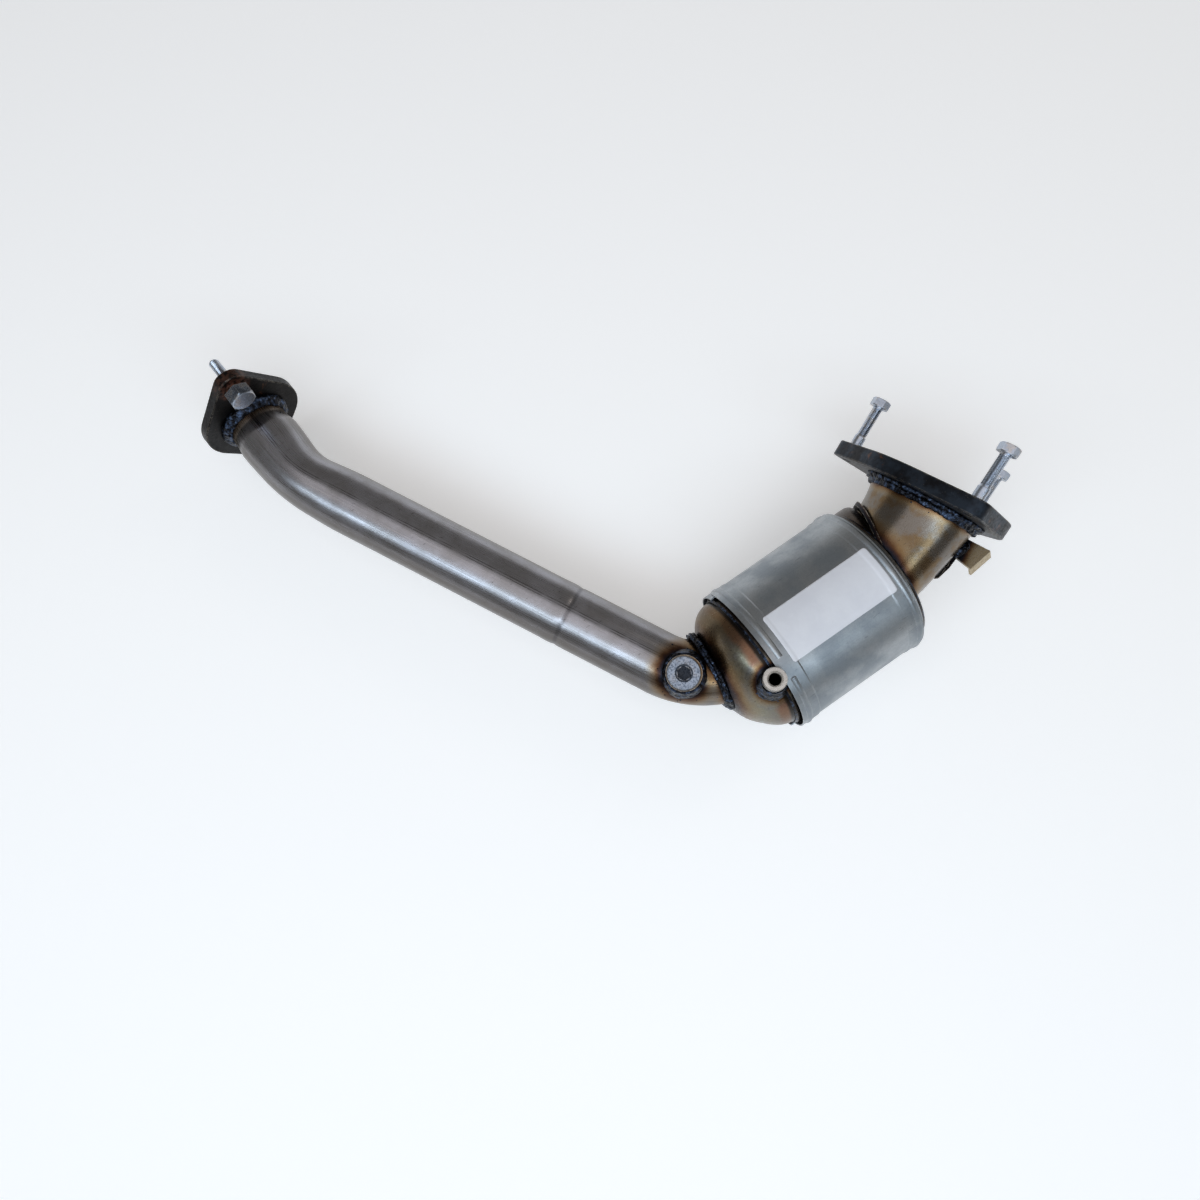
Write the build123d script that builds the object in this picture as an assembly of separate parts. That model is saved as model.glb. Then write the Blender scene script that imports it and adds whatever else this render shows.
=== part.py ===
from build123d import *
import math
import os

# Close-coupled catalytic converter: inlet flange, short neck, can with a heat shield, bent outlet pipe
# and outlet flange. Millimetres. Everything is built in the can's own frame: +X runs along the can
# towards the inlet, +Z points to the side with the sensor ports, the origin is the middle of the heat
# shield. The finished set is then laid down as it rests on a floor (see the end of the file).

# Driving dimensions. A place on the outlet side is given from the middle of the can's outlet end, one on
# the inlet side from the middle of its inlet end, the open port's height from the can's skin, and the
# bracket's places from the side of the neck.
can_od = 115.0
can_wall = 1.5
can_half = 57.5
skirt_gap = 0.1
skirt_depth = 10.0
sheet = 1.5
seam_height = 1.6

mat_t = 4.5
mat_inset = 2.0
brick_length = 80.0

shield_air = 3.6
shield_t = 1.0
shield_inset = 1.5
shield_band = 14.5
shield_rise = 0.6
bead_width = 4.6
bead_rise = 1.0
lap_gap = 0.1
lap_turn = 6.0
bead_in = 6.0
rear_extra = 3.6
seam_turn = 10.0
relief_from = -1.0
relief_to = 15.0
rim_roll = 2.6

pipe_od = 49.5
pipe_wall = 1.8
outlet_corner = (-209.6, 319.3, -29.5)
elbow_corner = (-48.4, 17.7, 1.0)
pipe_end = (-27.5, 8.2, 2.0)
outlet_face = (-215.5, 382.7, -36.5)
outlet_bend_r = 90.0
elbow_bend_r = 74.0
pipe_stop = 24.5
squeeze = 1.9
squeeze_spread = 1.2
squeeze_run = 28.0
squeeze_sections = 9
nose_od = 46.0
nose_length = 12.0
nose_taper = 10.0
pipe_tail = 14.0

dome_end = 29.6
dome_mouth_turn = 6.8
dome_mouth_r = 31.0
dome_slide = 6.7
dome_bore_gap = 0.15
dome_bead = 5.0
outlet_bead = 5.0
neck_bead = 3.5
flange_bead = 5.0

# The dome's sections: how far out, how much smaller, how far slid and how far turned. They are stretched
# to the sizes above.
dome_sections = [
    (0.0, 0.0, 0.0, 0.0),
    (7.0, 1.4, 0.6, 0.0),
    (13.0, 4.1, 1.3, 0.5),
    (18.5, 8.6, 2.3, 1.5),
    (24.0, 14.8, 3.4, 3.5),
    (27.6, 20.8, 5.0, 5.5),
    (29.6, 24.9, 6.7, 6.8),
]

inlet_yaw = 27.0
inlet_rise = 15.5
inlet_face = (72.8, 32.2, 18.6)
cap_yaw = -15.0
cap_rise = 13.0
cap_reach = 6.5
cap_round = 7.0
neck_low_yaw = 8.0
neck_low_rise = 12.0
neck_inside = 3.5
neck_wall = 2.0
neck_od_low = 78.0
neck_od_mid = 79.5
neck_od_top = 87.0
neck_low = (-3.5, 4.2, 1.5)
neck_mid = (42.8, 17.1, 10.7)
neck_mid_yaw = 20.0

inlet_flange_t = 12.0
inlet_hub_r = 62.0
inlet_lobe_r = 11.5
inlet_pcd = 134.0
inlet_bore = 80.0
inlet_first_bolt = (-0.18, -0.24, 0.95)

outlet_flange_t = 8.0
outlet_hub_r = 40.0
outlet_lobe_r = 12.0
outlet_pcd = 100.0
outlet_bore = 46.2
outlet_ear = (0.19, 0.14, 0.97)
edge_break = 0.6

bolt_d = 8.0
hole_gap = 0.05
inlet_bolt_out = 34.0
inlet_bolt_in = 10.0
inlet_bolt_af = 13.0
inlet_head_h = 5.6
washer_face = 0.9
sleeve_d = 9.0
sleeve_h = 9.0
outlet_bolt_af = 18.0
outlet_head_h = 9.0
outlet_bolt_out = 18.5
outlet_bolt_neck = 1.5
outlet_shank_step = 0.2
collar_d = 13.6
collar_h = 4.0

sensor_at = (-48.5, 21.7, 1.0)
sensor_axis = (-0.09, 0.14, 0.99)
sensor_boss_od = 27.0
sensor_boss_top = 31.0
sensor_boss_foot = 10.0
sensor_weld_foot = 12.0
sensor_weld_out = 6.5
sensor_weld_lip = 1.6
sensor_weld_drop = 1.2
sensor_thread = 18.0
plug_collar_d = 24.6
plug_collar_h = 4.0
plug_socket_af = 10.0
plug_socket_deep = 5.5
plug_socket_mouth = 13.4
plug_thread_l = 10.0
plug_socket_bevel = 1.4
seal_t = 1.5
seal_od = 24.0

port_at = (-4.5, -11.5, -4.7)
port_axis = (-0.01, 0.22, 0.975)
port_od = 17.0
port_hole = 9.0
port_mouth = 11.5
port_clear = 0.5
port_out = 13.8
port_foot = 6.0
port_mouth_deep = 1.25
port_weld_foot = 8.0
port_weld_out = 5.0
port_weld_lip = 0.8
port_weld_top = 5.0

strap_t = 2.0
tab_top = 18.0
tab_root_back = (52.9, 10.65)
tab_root_front = (70.0, 10.65)
tab_fold_front = (81.3, -10.35)
tab_fold_back = (60.3, -12.55)
lip_lean = (0.2, -0.66, -0.72)
lip_deep = 8.0
leg_points = [(56.5, 5.65), (47.5, -1.05), (35.9, -3.95), (35.7, -4.75), (47.6, -3.15), (57.0, -0.15)]
leg_deep = 7.0
blob_at = (62.3, 4.35, 18.0)
blob_half = (8.5, 5.5, 5.0)

lay_yaw = 34.61

# Derived sizes.
brick_od = can_od - 2 * (can_wall + mat_t)
mat_length = brick_length - 2 * mat_inset
shield_r = can_od / 2 + shield_air
shield_half = can_half - shield_inset
neck_side = neck_mid[1] - neck_od_mid / 2
through = can_od / 2
far = can_half + can_od

# Small helpers.


def from_outlet(point):
    """A place given from the middle of the can's outlet end, as a vector."""
    return Vector(*point) - Vector(can_half, 0, 0)


def from_inlet(point):
    """A place given from the middle of the can's inlet end, as a vector."""
    return Vector(*point) + Vector(can_half, 0, 0)


def by_neck(point):
    """A place in plan given from the can's inlet end and the side of the neck."""
    return (point[0] + can_half, point[1] + neck_side)


def heading(yaw, rise):
    """A unit direction from its turn about Z and its rise above the XY plane, in degrees."""
    a = math.radians(yaw)
    b = math.radians(rise)
    return Vector(math.cos(a) * math.cos(b), math.sin(a) * math.cos(b), math.sin(b))


def square(origin, normal, towards=(0, 0, 1)):
    """A plane at origin facing normal, with its X direction as near as can be to towards."""
    n = Vector(*normal).normalized()
    t = Vector(*towards)
    x = (t - n * t.dot(n)).normalized()
    return Plane(origin=origin, x_dir=x, z_dir=n)


def rod(plane, radius, start, stop):
    """A round bar along a plane's normal between two heights."""
    bar = Cylinder(radius, stop - start, align=(Align.CENTER, Align.CENTER, Align.MIN))
    return plane * Pos(0, 0, start) * bar


def cone(plane, radius_1, radius_2, start, stop):
    piece = Cone(radius_1, radius_2, stop - start, align=(Align.CENTER, Align.CENTER, Align.MIN))
    return plane * Pos(0, 0, start) * piece


def biggest(shape):
    """The largest solid left after a cut."""
    return shape.solids().sort_by(SortBy.VOLUME)[-1]


def lobed_face(count, pitch_r, hub_r, lobe_r):
    """A round hub with evenly spaced bolt lobes, joined by straight tangents."""
    lean = math.acos((hub_r - lobe_r) / pitch_r)
    edges = []
    step = 2 * math.pi / count

    def at(cx, cy, r, angle):
        return Vector(cx + r * math.cos(angle), cy + r * math.sin(angle))

    for i in range(count):
        a = i * step
        cx = pitch_r * math.cos(a)
        cy = pitch_r * math.sin(a)
        lobe_in = at(cx, cy, lobe_r, a - lean)
        lobe_out = at(cx, cy, lobe_r, a + lean)
        edges.append(Edge.make_three_point_arc(lobe_in, at(cx, cy, lobe_r, a), lobe_out))
        hub_in = at(0, 0, hub_r, a + lean)
        hub_out = at(0, 0, hub_r, a + step - lean)
        edges.append(Edge.make_line(lobe_out, hub_in))
        edges.append(Edge.make_three_point_arc(hub_in, at(0, 0, hub_r, a + step / 2), hub_out))
        nx = pitch_r * math.cos(a + step)
        ny = pitch_r * math.sin(a + step)
        edges.append(Edge.make_line(hub_out, at(nx, ny, lobe_r, a + step - lean)))
    return make_face(edges)


def hexagon(across_flats):
    return RegularPolygon(across_flats / 2, 6, major_radius=False)


def hex_head(across_flats, height):
    """A hexagon head standing on z = 0 with its top corners turned off."""
    corner_r = across_flats / math.sqrt(3)
    top_r = across_flats * 0.475
    drop = (corner_r - top_r) / math.sqrt(3)
    prism = extrude(hexagon(across_flats), height)
    turned = Cylinder(corner_r, height - drop, align=(Align.CENTER, Align.CENTER, Align.MIN))
    up = Cone(corner_r, top_r, drop, align=(Align.CENTER, Align.CENTER, Align.MIN))
    return prism & (turned + Pos(0, 0, height - drop) * up)


# Shared places.

inlet_n = heading(inlet_yaw, inlet_rise)
inlet_plane = square(from_inlet(inlet_face), inlet_n, inlet_first_bolt)
outlet_n = (Vector(*outlet_face) - Vector(*outlet_corner)).normalized()
outlet_plane = square(from_outlet(outlet_face), outlet_n, outlet_ear)
cap_n = heading(cap_yaw, cap_rise)
cap_plane = square(from_inlet((cap_reach, 0, 0)), cap_n)
neck_plane = square(from_inlet(neck_low), heading(neck_low_yaw, neck_low_rise))
neck_mid_n = heading(neck_mid_yaw, (neck_low_rise + inlet_rise) / 2)
neck_mid_plane = square(from_inlet(neck_mid), neck_mid_n)
flange_back = inlet_plane.offset(-inlet_flange_t)
sensor_plane = square(from_outlet(sensor_at), sensor_axis, (1, 0, 0))
port_place = from_outlet(port_at) + Vector(0, 0, can_od / 2)
port_plane = square(port_place, port_axis, (1, 0, 0))
can_axis = Axis((0, 0, 0), (1, 0, 0))


def along_x(radius, start, stop):
    return rod(Plane(origin=(0, 0, 0), z_dir=(1, 0, 0), x_dir=(0, 1, 0)), radius, start, stop)


# Can.


def canister_shell():
    return along_x(can_od / 2, -can_half, can_half) - along_x(can_od / 2 - can_wall, -far, far)


def support_mat():
    outer = can_od / 2 - can_wall
    half = mat_length / 2
    return along_x(outer, -half, half) - along_x(brick_od / 2, -far, far)


def honeycomb():
    return along_x(brick_od / 2, -brick_length / 2, brick_length / 2)


def dome_form(inset):
    """The drawn outlet dome: round sections from the can down to the pipe, turning as they go."""
    first = can_od / 2 - can_wall - skirt_gap
    out, less, slid, turned = dome_sections[-1]
    rounds = []
    for reach, drop, slide, turn in dome_sections:
        x = -can_half - reach * dome_end / out
        y = slide * dome_slide / slid
        radius = first - drop * (first - dome_mouth_r) / less
        normal = heading(180 - turn * dome_mouth_turn / turned, 0)
        plane = Plane(origin=(x, y, 0), z_dir=tuple(normal), x_dir=(0, 0, 1))
        rounds.append(plane * Circle(radius - inset))
    skirt_end = -can_half + skirt_depth + (1 if inset else 0)
    return loft(rounds) + along_x(first - inset, -can_half, skirt_end)


def mouth_plane():
    """The dome's flat end, where the pipe goes in; it faces away from the can."""
    normal = heading(180 - dome_mouth_turn, 0)
    return Plane(origin=(-can_half - dome_end, dome_slide, 0), z_dir=tuple(normal), x_dir=(0, 0, 1))


def outlet_dome(pipe_bar):
    skin = dome_form(0) - dome_form(sheet)
    lid = rod(mouth_plane(), dome_mouth_r, -sheet, 0)
    return skin + lid - pipe_bar - rod(port_plane, port_hole / 2, -through, through)


def cap_form(inset):
    """The inlet end cap: the can's round carried to a leaning end face with a rounded edge."""
    radius = can_od / 2 - can_wall - skirt_gap - inset
    start = can_half - skirt_depth - (1 if inset else 0)
    body = along_x(radius, start, far)
    body = split(body, cap_plane.offset(-inset), keep=Keep.BOTTOM)
    rim = body.edges().sort_by(Axis.X)[-1]
    return fillet(rim, cap_round - inset)


def inlet_cap():
    return cap_form(0) - cap_form(sheet) - neck_form(-0.15)


def seam_weld(end):
    """The thin bead where an end of the can meets the drawn end pushed into it; end is -1 or 1."""
    place = Plane(origin=(end * can_half, 0, 0), z_dir=(end, 0, 0), x_dir=(0, 1, 0))
    inner = can_od / 2 - can_wall - skirt_gap
    bead = cone(place, can_od / 2 - 0.2, inner + 0.4, 0, seam_height)
    bead -= rod(place, inner + 0.02, -1, seam_height + 1)
    if end < 0:
        bead -= rod(port_plane, port_od / 2, -through, through)
    return bead


# Heat shield.


def shield_profile(inset, bead, extra):
    """Half section of the shield from the axis outwards, as a face in the XY plane."""
    low = -shield_half - extra
    r = shield_r - inset
    up = r + shield_rise
    top = up + bead_rise
    band = shield_half - shield_band
    bead_c = shield_half - bead_in
    w = bead_width / 2
    lines = [Edge.make_line((low, 0), (low, up))]
    if bead:
        lines.append(Edge.make_line((low, up), (-bead_c - w, up)))
        lines.append(Edge.make_three_point_arc((-bead_c - w, up), (-bead_c, top), (-bead_c + w, up)))
        lines.append(Edge.make_line((-bead_c + w, up), (-band, up)))
    else:
        lines.append(Edge.make_line((low, up), (-band, up)))
    lines.append(Edge.make_line((-band, up), (-band + 1.2, r)))
    lines.append(Edge.make_line((-band + 1.2, r), (band - 1.2, r)))
    lines.append(Edge.make_line((band - 1.2, r), (band, up)))
    lines.append(Edge.make_line((band, up), (bead_c - w, up)))
    lines.append(Edge.make_three_point_arc((bead_c - w, up), (bead_c, top), (bead_c + w, up)))
    roll = shield_half - rim_roll
    lines.append(Edge.make_line((bead_c + w, up), (roll, up)))
    stop = shield_half - inset * 0.6
    lip = can_od / 2 + 0.1 + (0 if inset else 0.8)
    lines.append(Edge.make_line((roll, up), (stop, lip)))
    lines.append(Edge.make_line((stop, lip), (stop, 0)))
    lines.append(Edge.make_line((stop, 0), (low, 0)))
    return make_face(lines)


def shield_sector(first, last, bead, depth, extra):
    """Part of the shield between two angles, measured from +Z towards -Y; depth sinks it inwards."""
    turn = last - first
    solid = revolve(shield_profile(depth, bead, extra), can_axis, turn)
    solid -= revolve(shield_profile(depth + shield_t, bead, extra + 1), can_axis, turn)
    solid -= along_x(can_od / 2 + skirt_gap, -far, far)
    return Rot(90 + first, 0, 0) * solid


def shield_front():
    first = -90 + seam_turn
    last = 90 + seam_turn
    piece = shield_sector(first, relief_from, True, 0, 0)
    piece += shield_sector(relief_from, relief_to, False, 0, 0)
    piece += shield_sector(relief_to, last, True, 0, 0)
    return piece - rod(port_plane, port_od / 2 + port_clear, -through, through)


def shield_rear():
    first = 90 + seam_turn - lap_turn
    last = 270 + seam_turn + lap_turn
    return shield_sector(first, last, True, shield_t + lap_gap, rear_extra)


# Outlet pipe and its flange.


def pipe_path():
    first = from_outlet(outlet_face) - outlet_n * (nose_length + nose_taper)
    end = from_outlet(pipe_end)
    last = end + (end - from_outlet(elbow_corner)).normalized() * pipe_tail
    corners = [first, from_outlet(outlet_corner), from_outlet(elbow_corner), last]
    return FilletPolyline(*corners, radius=[outlet_bend_r, elbow_bend_r])


def place_on(path, distance):
    """A plane square to the path, with its X direction across the plane of the first bend."""
    t = distance / path.length
    tangent = path % t
    run = (Vector(*elbow_corner) - Vector(*outlet_corner)).normalized()
    across = outlet_n.cross(run).normalized()
    x_dir = (across - tangent * across.dot(tangent)).normalized()
    return Plane(origin=path @ t, x_dir=x_dir, z_dir=tangent)


def pipe_form(path, inset, tail):
    """The pipe as a bar: round along its run, a little flattened in the bend near the flange."""
    r = pipe_od / 2 - inset
    lead, bend, run, elbow, last = path.edges()
    end = lead.length + bend.length + squeeze_run
    rounds = []
    for i in range(squeeze_sections):
        share = i / (squeeze_sections - 1)
        k = math.sin(math.pi * share) ** 2
        if i in (0, squeeze_sections - 1):
            section = Circle(r)
        else:
            section = Ellipse(r + squeeze_spread * k, r - squeeze * k)
        rounds.append(place_on(path, end * share) * section)
    body = loft(rounds)
    rest = Wire([Edge.make_line(path @ (end / path.length), elbow @ 0), elbow, last])
    body += sweep(place_on(path, end) * Circle(r), path=rest)
    body += cone(outlet_plane, r, nose_od / 2 - inset, -nose_length - nose_taper, -nose_length)
    body += rod(outlet_plane, nose_od / 2 - inset, -nose_length, tail)
    return body


def outlet_pipe(path):
    body = pipe_form(path, 0, outlet_flange_t - 2) - pipe_form(path, pipe_wall, outlet_flange_t + 2)
    body -= rod(sensor_plane, sensor_thread / 2 + hole_gap, pipe_wall, through)
    stop = from_outlet((-pipe_stop, 0, 0))
    return biggest(split(body, Plane(origin=stop, z_dir=(1, 0, 0)), keep=Keep.BOTTOM))


def outlet_flange():
    plate = extrude(lobed_face(2, outlet_pcd / 2, outlet_hub_r, outlet_lobe_r), outlet_flange_t)
    rims = plate.edges().group_by(Axis.Z)
    plate = chamfer(rims[-1] + rims[0], edge_break)
    plate = outlet_plane * plate
    plate -= rod(outlet_plane, outlet_bore / 2, -through, through)
    hole_r = bolt_d / 2 + outlet_shank_step + hole_gap
    for side in (-1, 1):
        plate -= outlet_plane * Pos(side * outlet_pcd / 2, 0, 0) * Cylinder(hole_r, through)
    return plate


def outlet_bolt(side):
    spot = outlet_plane * Pos(side * outlet_pcd / 2, 0, 0)
    base = (Align.CENTER, Align.CENTER, Align.MIN)
    plain = collar_h + outlet_flange_t + outlet_bolt_neck
    shank = Cylinder(bolt_d / 2 + outlet_shank_step, plain, align=base)
    thread = Cylinder(bolt_d / 2, outlet_bolt_out - outlet_bolt_neck, align=base)
    tip = thread.edges().group_by(Axis.Z)[-1]
    thread = Pos(0, 0, plain) * chamfer(tip, 1.0)
    head = Rot(0, 180, 0) * hex_head(outlet_bolt_af, outlet_head_h)
    return spot * Pos(0, 0, -collar_h) * (shank + thread + head)


def outlet_washer(side):
    spot = outlet_plane * Pos(side * outlet_pcd / 2, 0, -collar_h)
    base = (Align.CENTER, Align.CENTER, Align.MIN)
    ring = Cylinder(collar_d / 2, collar_h, align=base)
    return spot * (ring - Cylinder(bolt_d / 2 + outlet_shank_step + hole_gap, through))


def bead_between(fat, core, near, far):
    """The part of a fattened tube that lies between two planes, with the tube itself taken out."""
    bead = split(fat, near, keep=Keep.TOP)
    bead = split(bead, far, keep=Keep.BOTTOM)
    return bead - core


def pipe_dome_weld(path):
    """The heavy fillet round the pipe where it enters the dome."""
    mouth = mouth_plane()
    mid = mouth.offset(dome_bead * 0.5)
    core = pipe_form(path, 0, outlet_flange_t)
    top = mouth.offset(dome_bead)
    low = bead_between(pipe_form(path, -dome_bead, outlet_flange_t), core, mouth, mid)
    high = bead_between(pipe_form(path, -dome_bead * 0.6, outlet_flange_t), core, mid, top)
    return low + high


def outlet_flange_weld():
    inner = nose_od / 2
    bead = rod(outlet_plane, inner + outlet_bead, -outlet_bead * 0.6, 0)
    bead += cone(outlet_plane, inner + 0.8, inner + outlet_bead, -outlet_bead * 1.5, -outlet_bead * 0.6)
    return bead - rod(outlet_plane, inner, -through, through)


def clear_of_bolts(piece):
    """Takes the bolt heads' room out of a bead that runs close to them."""
    for side in (-1, 1):
        spot = outlet_plane * Pos(side * outlet_pcd / 2, 0, 0)
        piece -= spot * Cylinder(outlet_bolt_af * 0.58 + 0.4, through)
    return piece


# Inlet neck and flange.


def neck_form(inset):
    low = neck_plane.offset(-1.0 if inset else 0.0)
    top = flange_back.offset(1.0 if inset else 0.0)
    rounds = [
        low * Circle(neck_od_low / 2 - inset),
        neck_mid_plane * Circle(neck_od_mid / 2 - inset),
        top * Circle(neck_od_top / 2 - inset),
    ]
    return loft(rounds)


def inlet_neck():
    tube = neck_form(0) - neck_form(neck_wall)
    return split(tube, cap_plane.offset(-neck_inside), keep=Keep.TOP)


def inlet_neck_weld():
    """The bead where the neck leaves the end cap."""
    return bead_between(neck_form(-neck_bead), neck_form(0), cap_plane, cap_plane.offset(neck_bead * 0.8))


def inlet_flange_weld():
    """The thick bead under the flange, round the top of the neck."""
    core = neck_form(0)
    mid = flange_back.offset(-flange_bead * 0.6)
    end = flange_back.offset(-flange_bead * 1.4)
    low = bead_between(neck_form(-flange_bead), core, mid, flange_back)
    high = bead_between(neck_form(-flange_bead * 0.5), core, end, mid)
    return low + high


def outline(points, top, depth):
    """A flat piece cut to a closed outline in plan, with its upper side at the height top."""
    return Pos(0, 0, top) * extrude(make_face(Polyline(*points, close=True)), -depth)


def bracket():
    """A strap welded to the neck: a flat tab with a folded lip, and a thin leg back along the neck."""
    corners = [tab_root_back, tab_root_front, tab_fold_front, tab_fold_back]
    tab = outline([by_neck(p) for p in corners], tab_top, strap_t)
    back = Vector(*by_neck(tab_fold_back), tab_top - strap_t / 2)
    front = Vector(*by_neck(tab_fold_front), tab_top - strap_t / 2)
    along = (front - back).normalized()
    away = Vector(*lip_lean).normalized()
    middle = (back + front) * 0.5
    place = Plane(origin=tuple(middle), x_dir=tuple(along), z_dir=tuple(along.cross(away)))
    width = (front - back).length
    lip = place * Box(width, lip_deep, strap_t, align=(Align.CENTER, Align.MIN, Align.CENTER))
    fold = Plane(origin=tuple(back), z_dir=tuple(along)) * Cylinder(
        strap_t / 2, width, align=(Align.CENTER, Align.CENTER, Align.MIN)
    )
    leg = outline([by_neck(p) for p in leg_points], tab_top, leg_deep)
    return tab + fold + lip + leg


def bracket_weld():
    return Pos(*by_neck(blob_at), blob_at[2]) * scale(Sphere(1.0), blob_half)


def inlet_flange():
    plate = extrude(lobed_face(3, inlet_pcd / 2, inlet_hub_r, inlet_lobe_r), -inlet_flange_t)
    rims = plate.edges().group_by(Axis.Z)
    plate = chamfer(rims[-1] + rims[0], edge_break)
    plate = inlet_plane * plate
    plate -= rod(inlet_plane, inlet_bore / 2, -through, through)
    for i in range(3):
        spot = inlet_plane * Rot(0, 0, 120 * i) * Pos(inlet_pcd / 2, 0, 0)
        plate -= spot * Cylinder(bolt_d / 2 + hole_gap, through)
    return plate


def inlet_bolt(i):
    spot = inlet_plane * Rot(0, 0, 120 * i) * Pos(inlet_pcd / 2, 0, 0)
    base = (Align.CENTER, Align.CENTER, Align.MIN)
    bolt = Pos(0, 0, -inlet_bolt_in) * Cylinder(bolt_d / 2, inlet_bolt_in + inlet_bolt_out, align=base)
    sleeve = Cylinder(sleeve_d / 2, sleeve_h, align=base)
    sleeve = chamfer(sleeve.edges().group_by(Axis.Z)[-1], 0.4)
    bolt += sleeve
    bolt += Pos(0, 0, inlet_bolt_out) * Cylinder(inlet_bolt_af * 0.56, washer_face, align=base)
    bolt += Pos(0, 0, inlet_bolt_out + washer_face) * hex_head(inlet_bolt_af, inlet_head_h)
    return spot * bolt


# Sensor ports.


def sensor_boss(pipe_bar):
    boss = rod(sensor_plane, sensor_boss_od / 2, sensor_boss_foot, sensor_boss_top)
    return boss - pipe_bar - rod(sensor_plane, sensor_thread / 2 + hole_gap, 0, through)


def sensor_boss_weld(pipe_bar):
    wide = sensor_boss_od / 2 + sensor_weld_out
    narrow = sensor_boss_od / 2 + sensor_weld_lip
    puck = cone(sensor_plane, wide, narrow, sensor_weld_foot, sensor_boss_top - sensor_weld_drop)
    puck -= pipe_bar
    return puck - rod(sensor_plane, sensor_boss_od / 2, 0, through)


def plug_seal():
    top = sensor_boss_top + seal_t
    ring = rod(sensor_plane, seal_od / 2, sensor_boss_top, top)
    return ring - rod(sensor_plane, sensor_thread / 2 + hole_gap, 0, through)


def sensor_plug():
    under = sensor_boss_top + seal_t
    top = under + plug_collar_h
    base = (Align.CENTER, Align.CENTER, Align.MIN)
    collar = Cylinder(plug_collar_d / 2, plug_collar_h, align=base)
    collar = chamfer(collar.edges().group_by(Axis.Z)[-1], 0.7)
    plug = sensor_plane * Pos(0, 0, under) * collar
    plug += rod(sensor_plane, sensor_thread / 2, under - plug_thread_l, under)
    socket = sensor_plane * Pos(0, 0, top - plug_socket_deep) * extrude(hexagon(plug_socket_af), 20)
    narrow = plug_socket_mouth / 2 - plug_socket_bevel
    mouth = cone(sensor_plane, narrow, plug_socket_mouth / 2, top - plug_socket_bevel, top)
    return plug - socket - mouth


def pressure_port(dome_bar):
    tube = rod(port_plane, port_od / 2, -port_foot, port_out)
    tube = chamfer(tube.edges().sort_by_distance(port_plane.offset(port_out).origin)[0], 0.5)
    tube = tube - dome_bar - rod(port_plane, port_hole / 2, -through, through)
    tube -= along_x(can_od / 2, -can_half, can_half)
    mouth = cone(port_plane, port_hole / 2, port_mouth / 2, port_out - port_mouth_deep, port_out + 0.001)
    return biggest(tube - mouth)


def port_weld(dome_bar):
    wide = port_od / 2 + port_weld_out
    narrow = port_od / 2 + port_weld_lip
    puck = cone(port_plane, wide, narrow, -port_weld_foot, port_weld_top)
    puck = puck - dome_bar - rod(port_plane, port_od / 2, -through, through)
    puck = puck - along_x(can_od / 2, -can_half, can_half) - seam_weld(-1)
    edge = Plane(origin=(-shield_half - port_clear, 0, 0), z_dir=(1, 0, 0), x_dir=(0, 1, 0))
    return biggest(split(puck, edge, keep=Keep.BOTTOM))


# The finished set is laid down as it rests: on the shield's beads and the outlet flange's lower ear.


def resting_place(flange):
    """Rolls about the can's axis until the flange's lowest point is level with the shield's beads."""
    bead_r = shield_r - shield_t - lap_gap + shield_rise + bead_rise
    low = 0.0
    high = 30.0
    for _ in range(24):
        roll = (low + high) / 2
        if (Rot(roll, 0, 0) * flange).bounding_box().min.Z < -bead_r:
            low = roll
        else:
            high = roll
    turned = Rot(0, 0, lay_yaw) * Rot(roll, 0, 0)
    centre = (turned * Pos(*inlet_plane.origin)).position
    return Pos(-centre.X, -centre.Y, -centre.Z) * turned


# Build.

if __name__ == "__main__":
    os.makedirs("parts", exist_ok=True)
    path = pipe_path()
    pipe_bar = pipe_form(path, 0, outlet_flange_t)
    dome_bar = dome_form(0)
    fat_bar = pipe_form(path, -dome_bore_gap, outlet_flange_t)
    neck_bar = neck_form(0)
    boss_weld = sensor_boss_weld(pipe_bar)
    flange_weld = inlet_flange_weld()
    strap = biggest(bracket() - neck_bar - flange_weld)
    blob = biggest(bracket_weld() - neck_bar - flange_weld - strap)
    pieces = {
        "canister_shell": canister_shell(),
        "support_mat": support_mat(),
        "honeycomb": honeycomb(),
        "outlet_dome": outlet_dome(fat_bar),
        "outlet_seam_weld": seam_weld(-1),
        "inlet_cap": inlet_cap(),
        "inlet_seam_weld": seam_weld(1),
        "shield_front": shield_front(),
        "shield_rear": shield_rear(),
        "outlet_pipe": outlet_pipe(path),
        "pipe_dome_weld": pipe_dome_weld(path) - boss_weld - sensor_boss(pipe_bar),
        "outlet_flange": outlet_flange(),
        "outlet_flange_weld": clear_of_bolts(outlet_flange_weld()),
        "inlet_neck": inlet_neck(),
        "inlet_neck_weld": inlet_neck_weld(),
        "inlet_flange": inlet_flange(),
        "inlet_flange_weld": flange_weld,
        "sensor_boss": sensor_boss(pipe_bar),
        "sensor_boss_weld": boss_weld,
        "plug_seal": plug_seal(),
        "sensor_plug": sensor_plug(),
        "pressure_port": pressure_port(dome_bar),
        "pressure_port_weld": port_weld(dome_bar),
        "bracket": strap,
        "bracket_weld": blob,
    }
    for i in range(3):
        pieces[f"inlet_bolt_{i + 1}"] = inlet_bolt(i)
    for i, side in enumerate((1, -1)):
        pieces[f"outlet_bolt_{i + 1}"] = outlet_bolt(side)
        pieces[f"outlet_washer_{i + 1}"] = outlet_washer(side)
    lay = resting_place(pieces["outlet_flange"])
    for name, shape in pieces.items():
        shape = lay * shape
        print(name, len(shape.solids()), shape.is_valid, round(shape.volume), shape.bounding_box())
        export_step(shape, f"parts/{name}.step")
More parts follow.
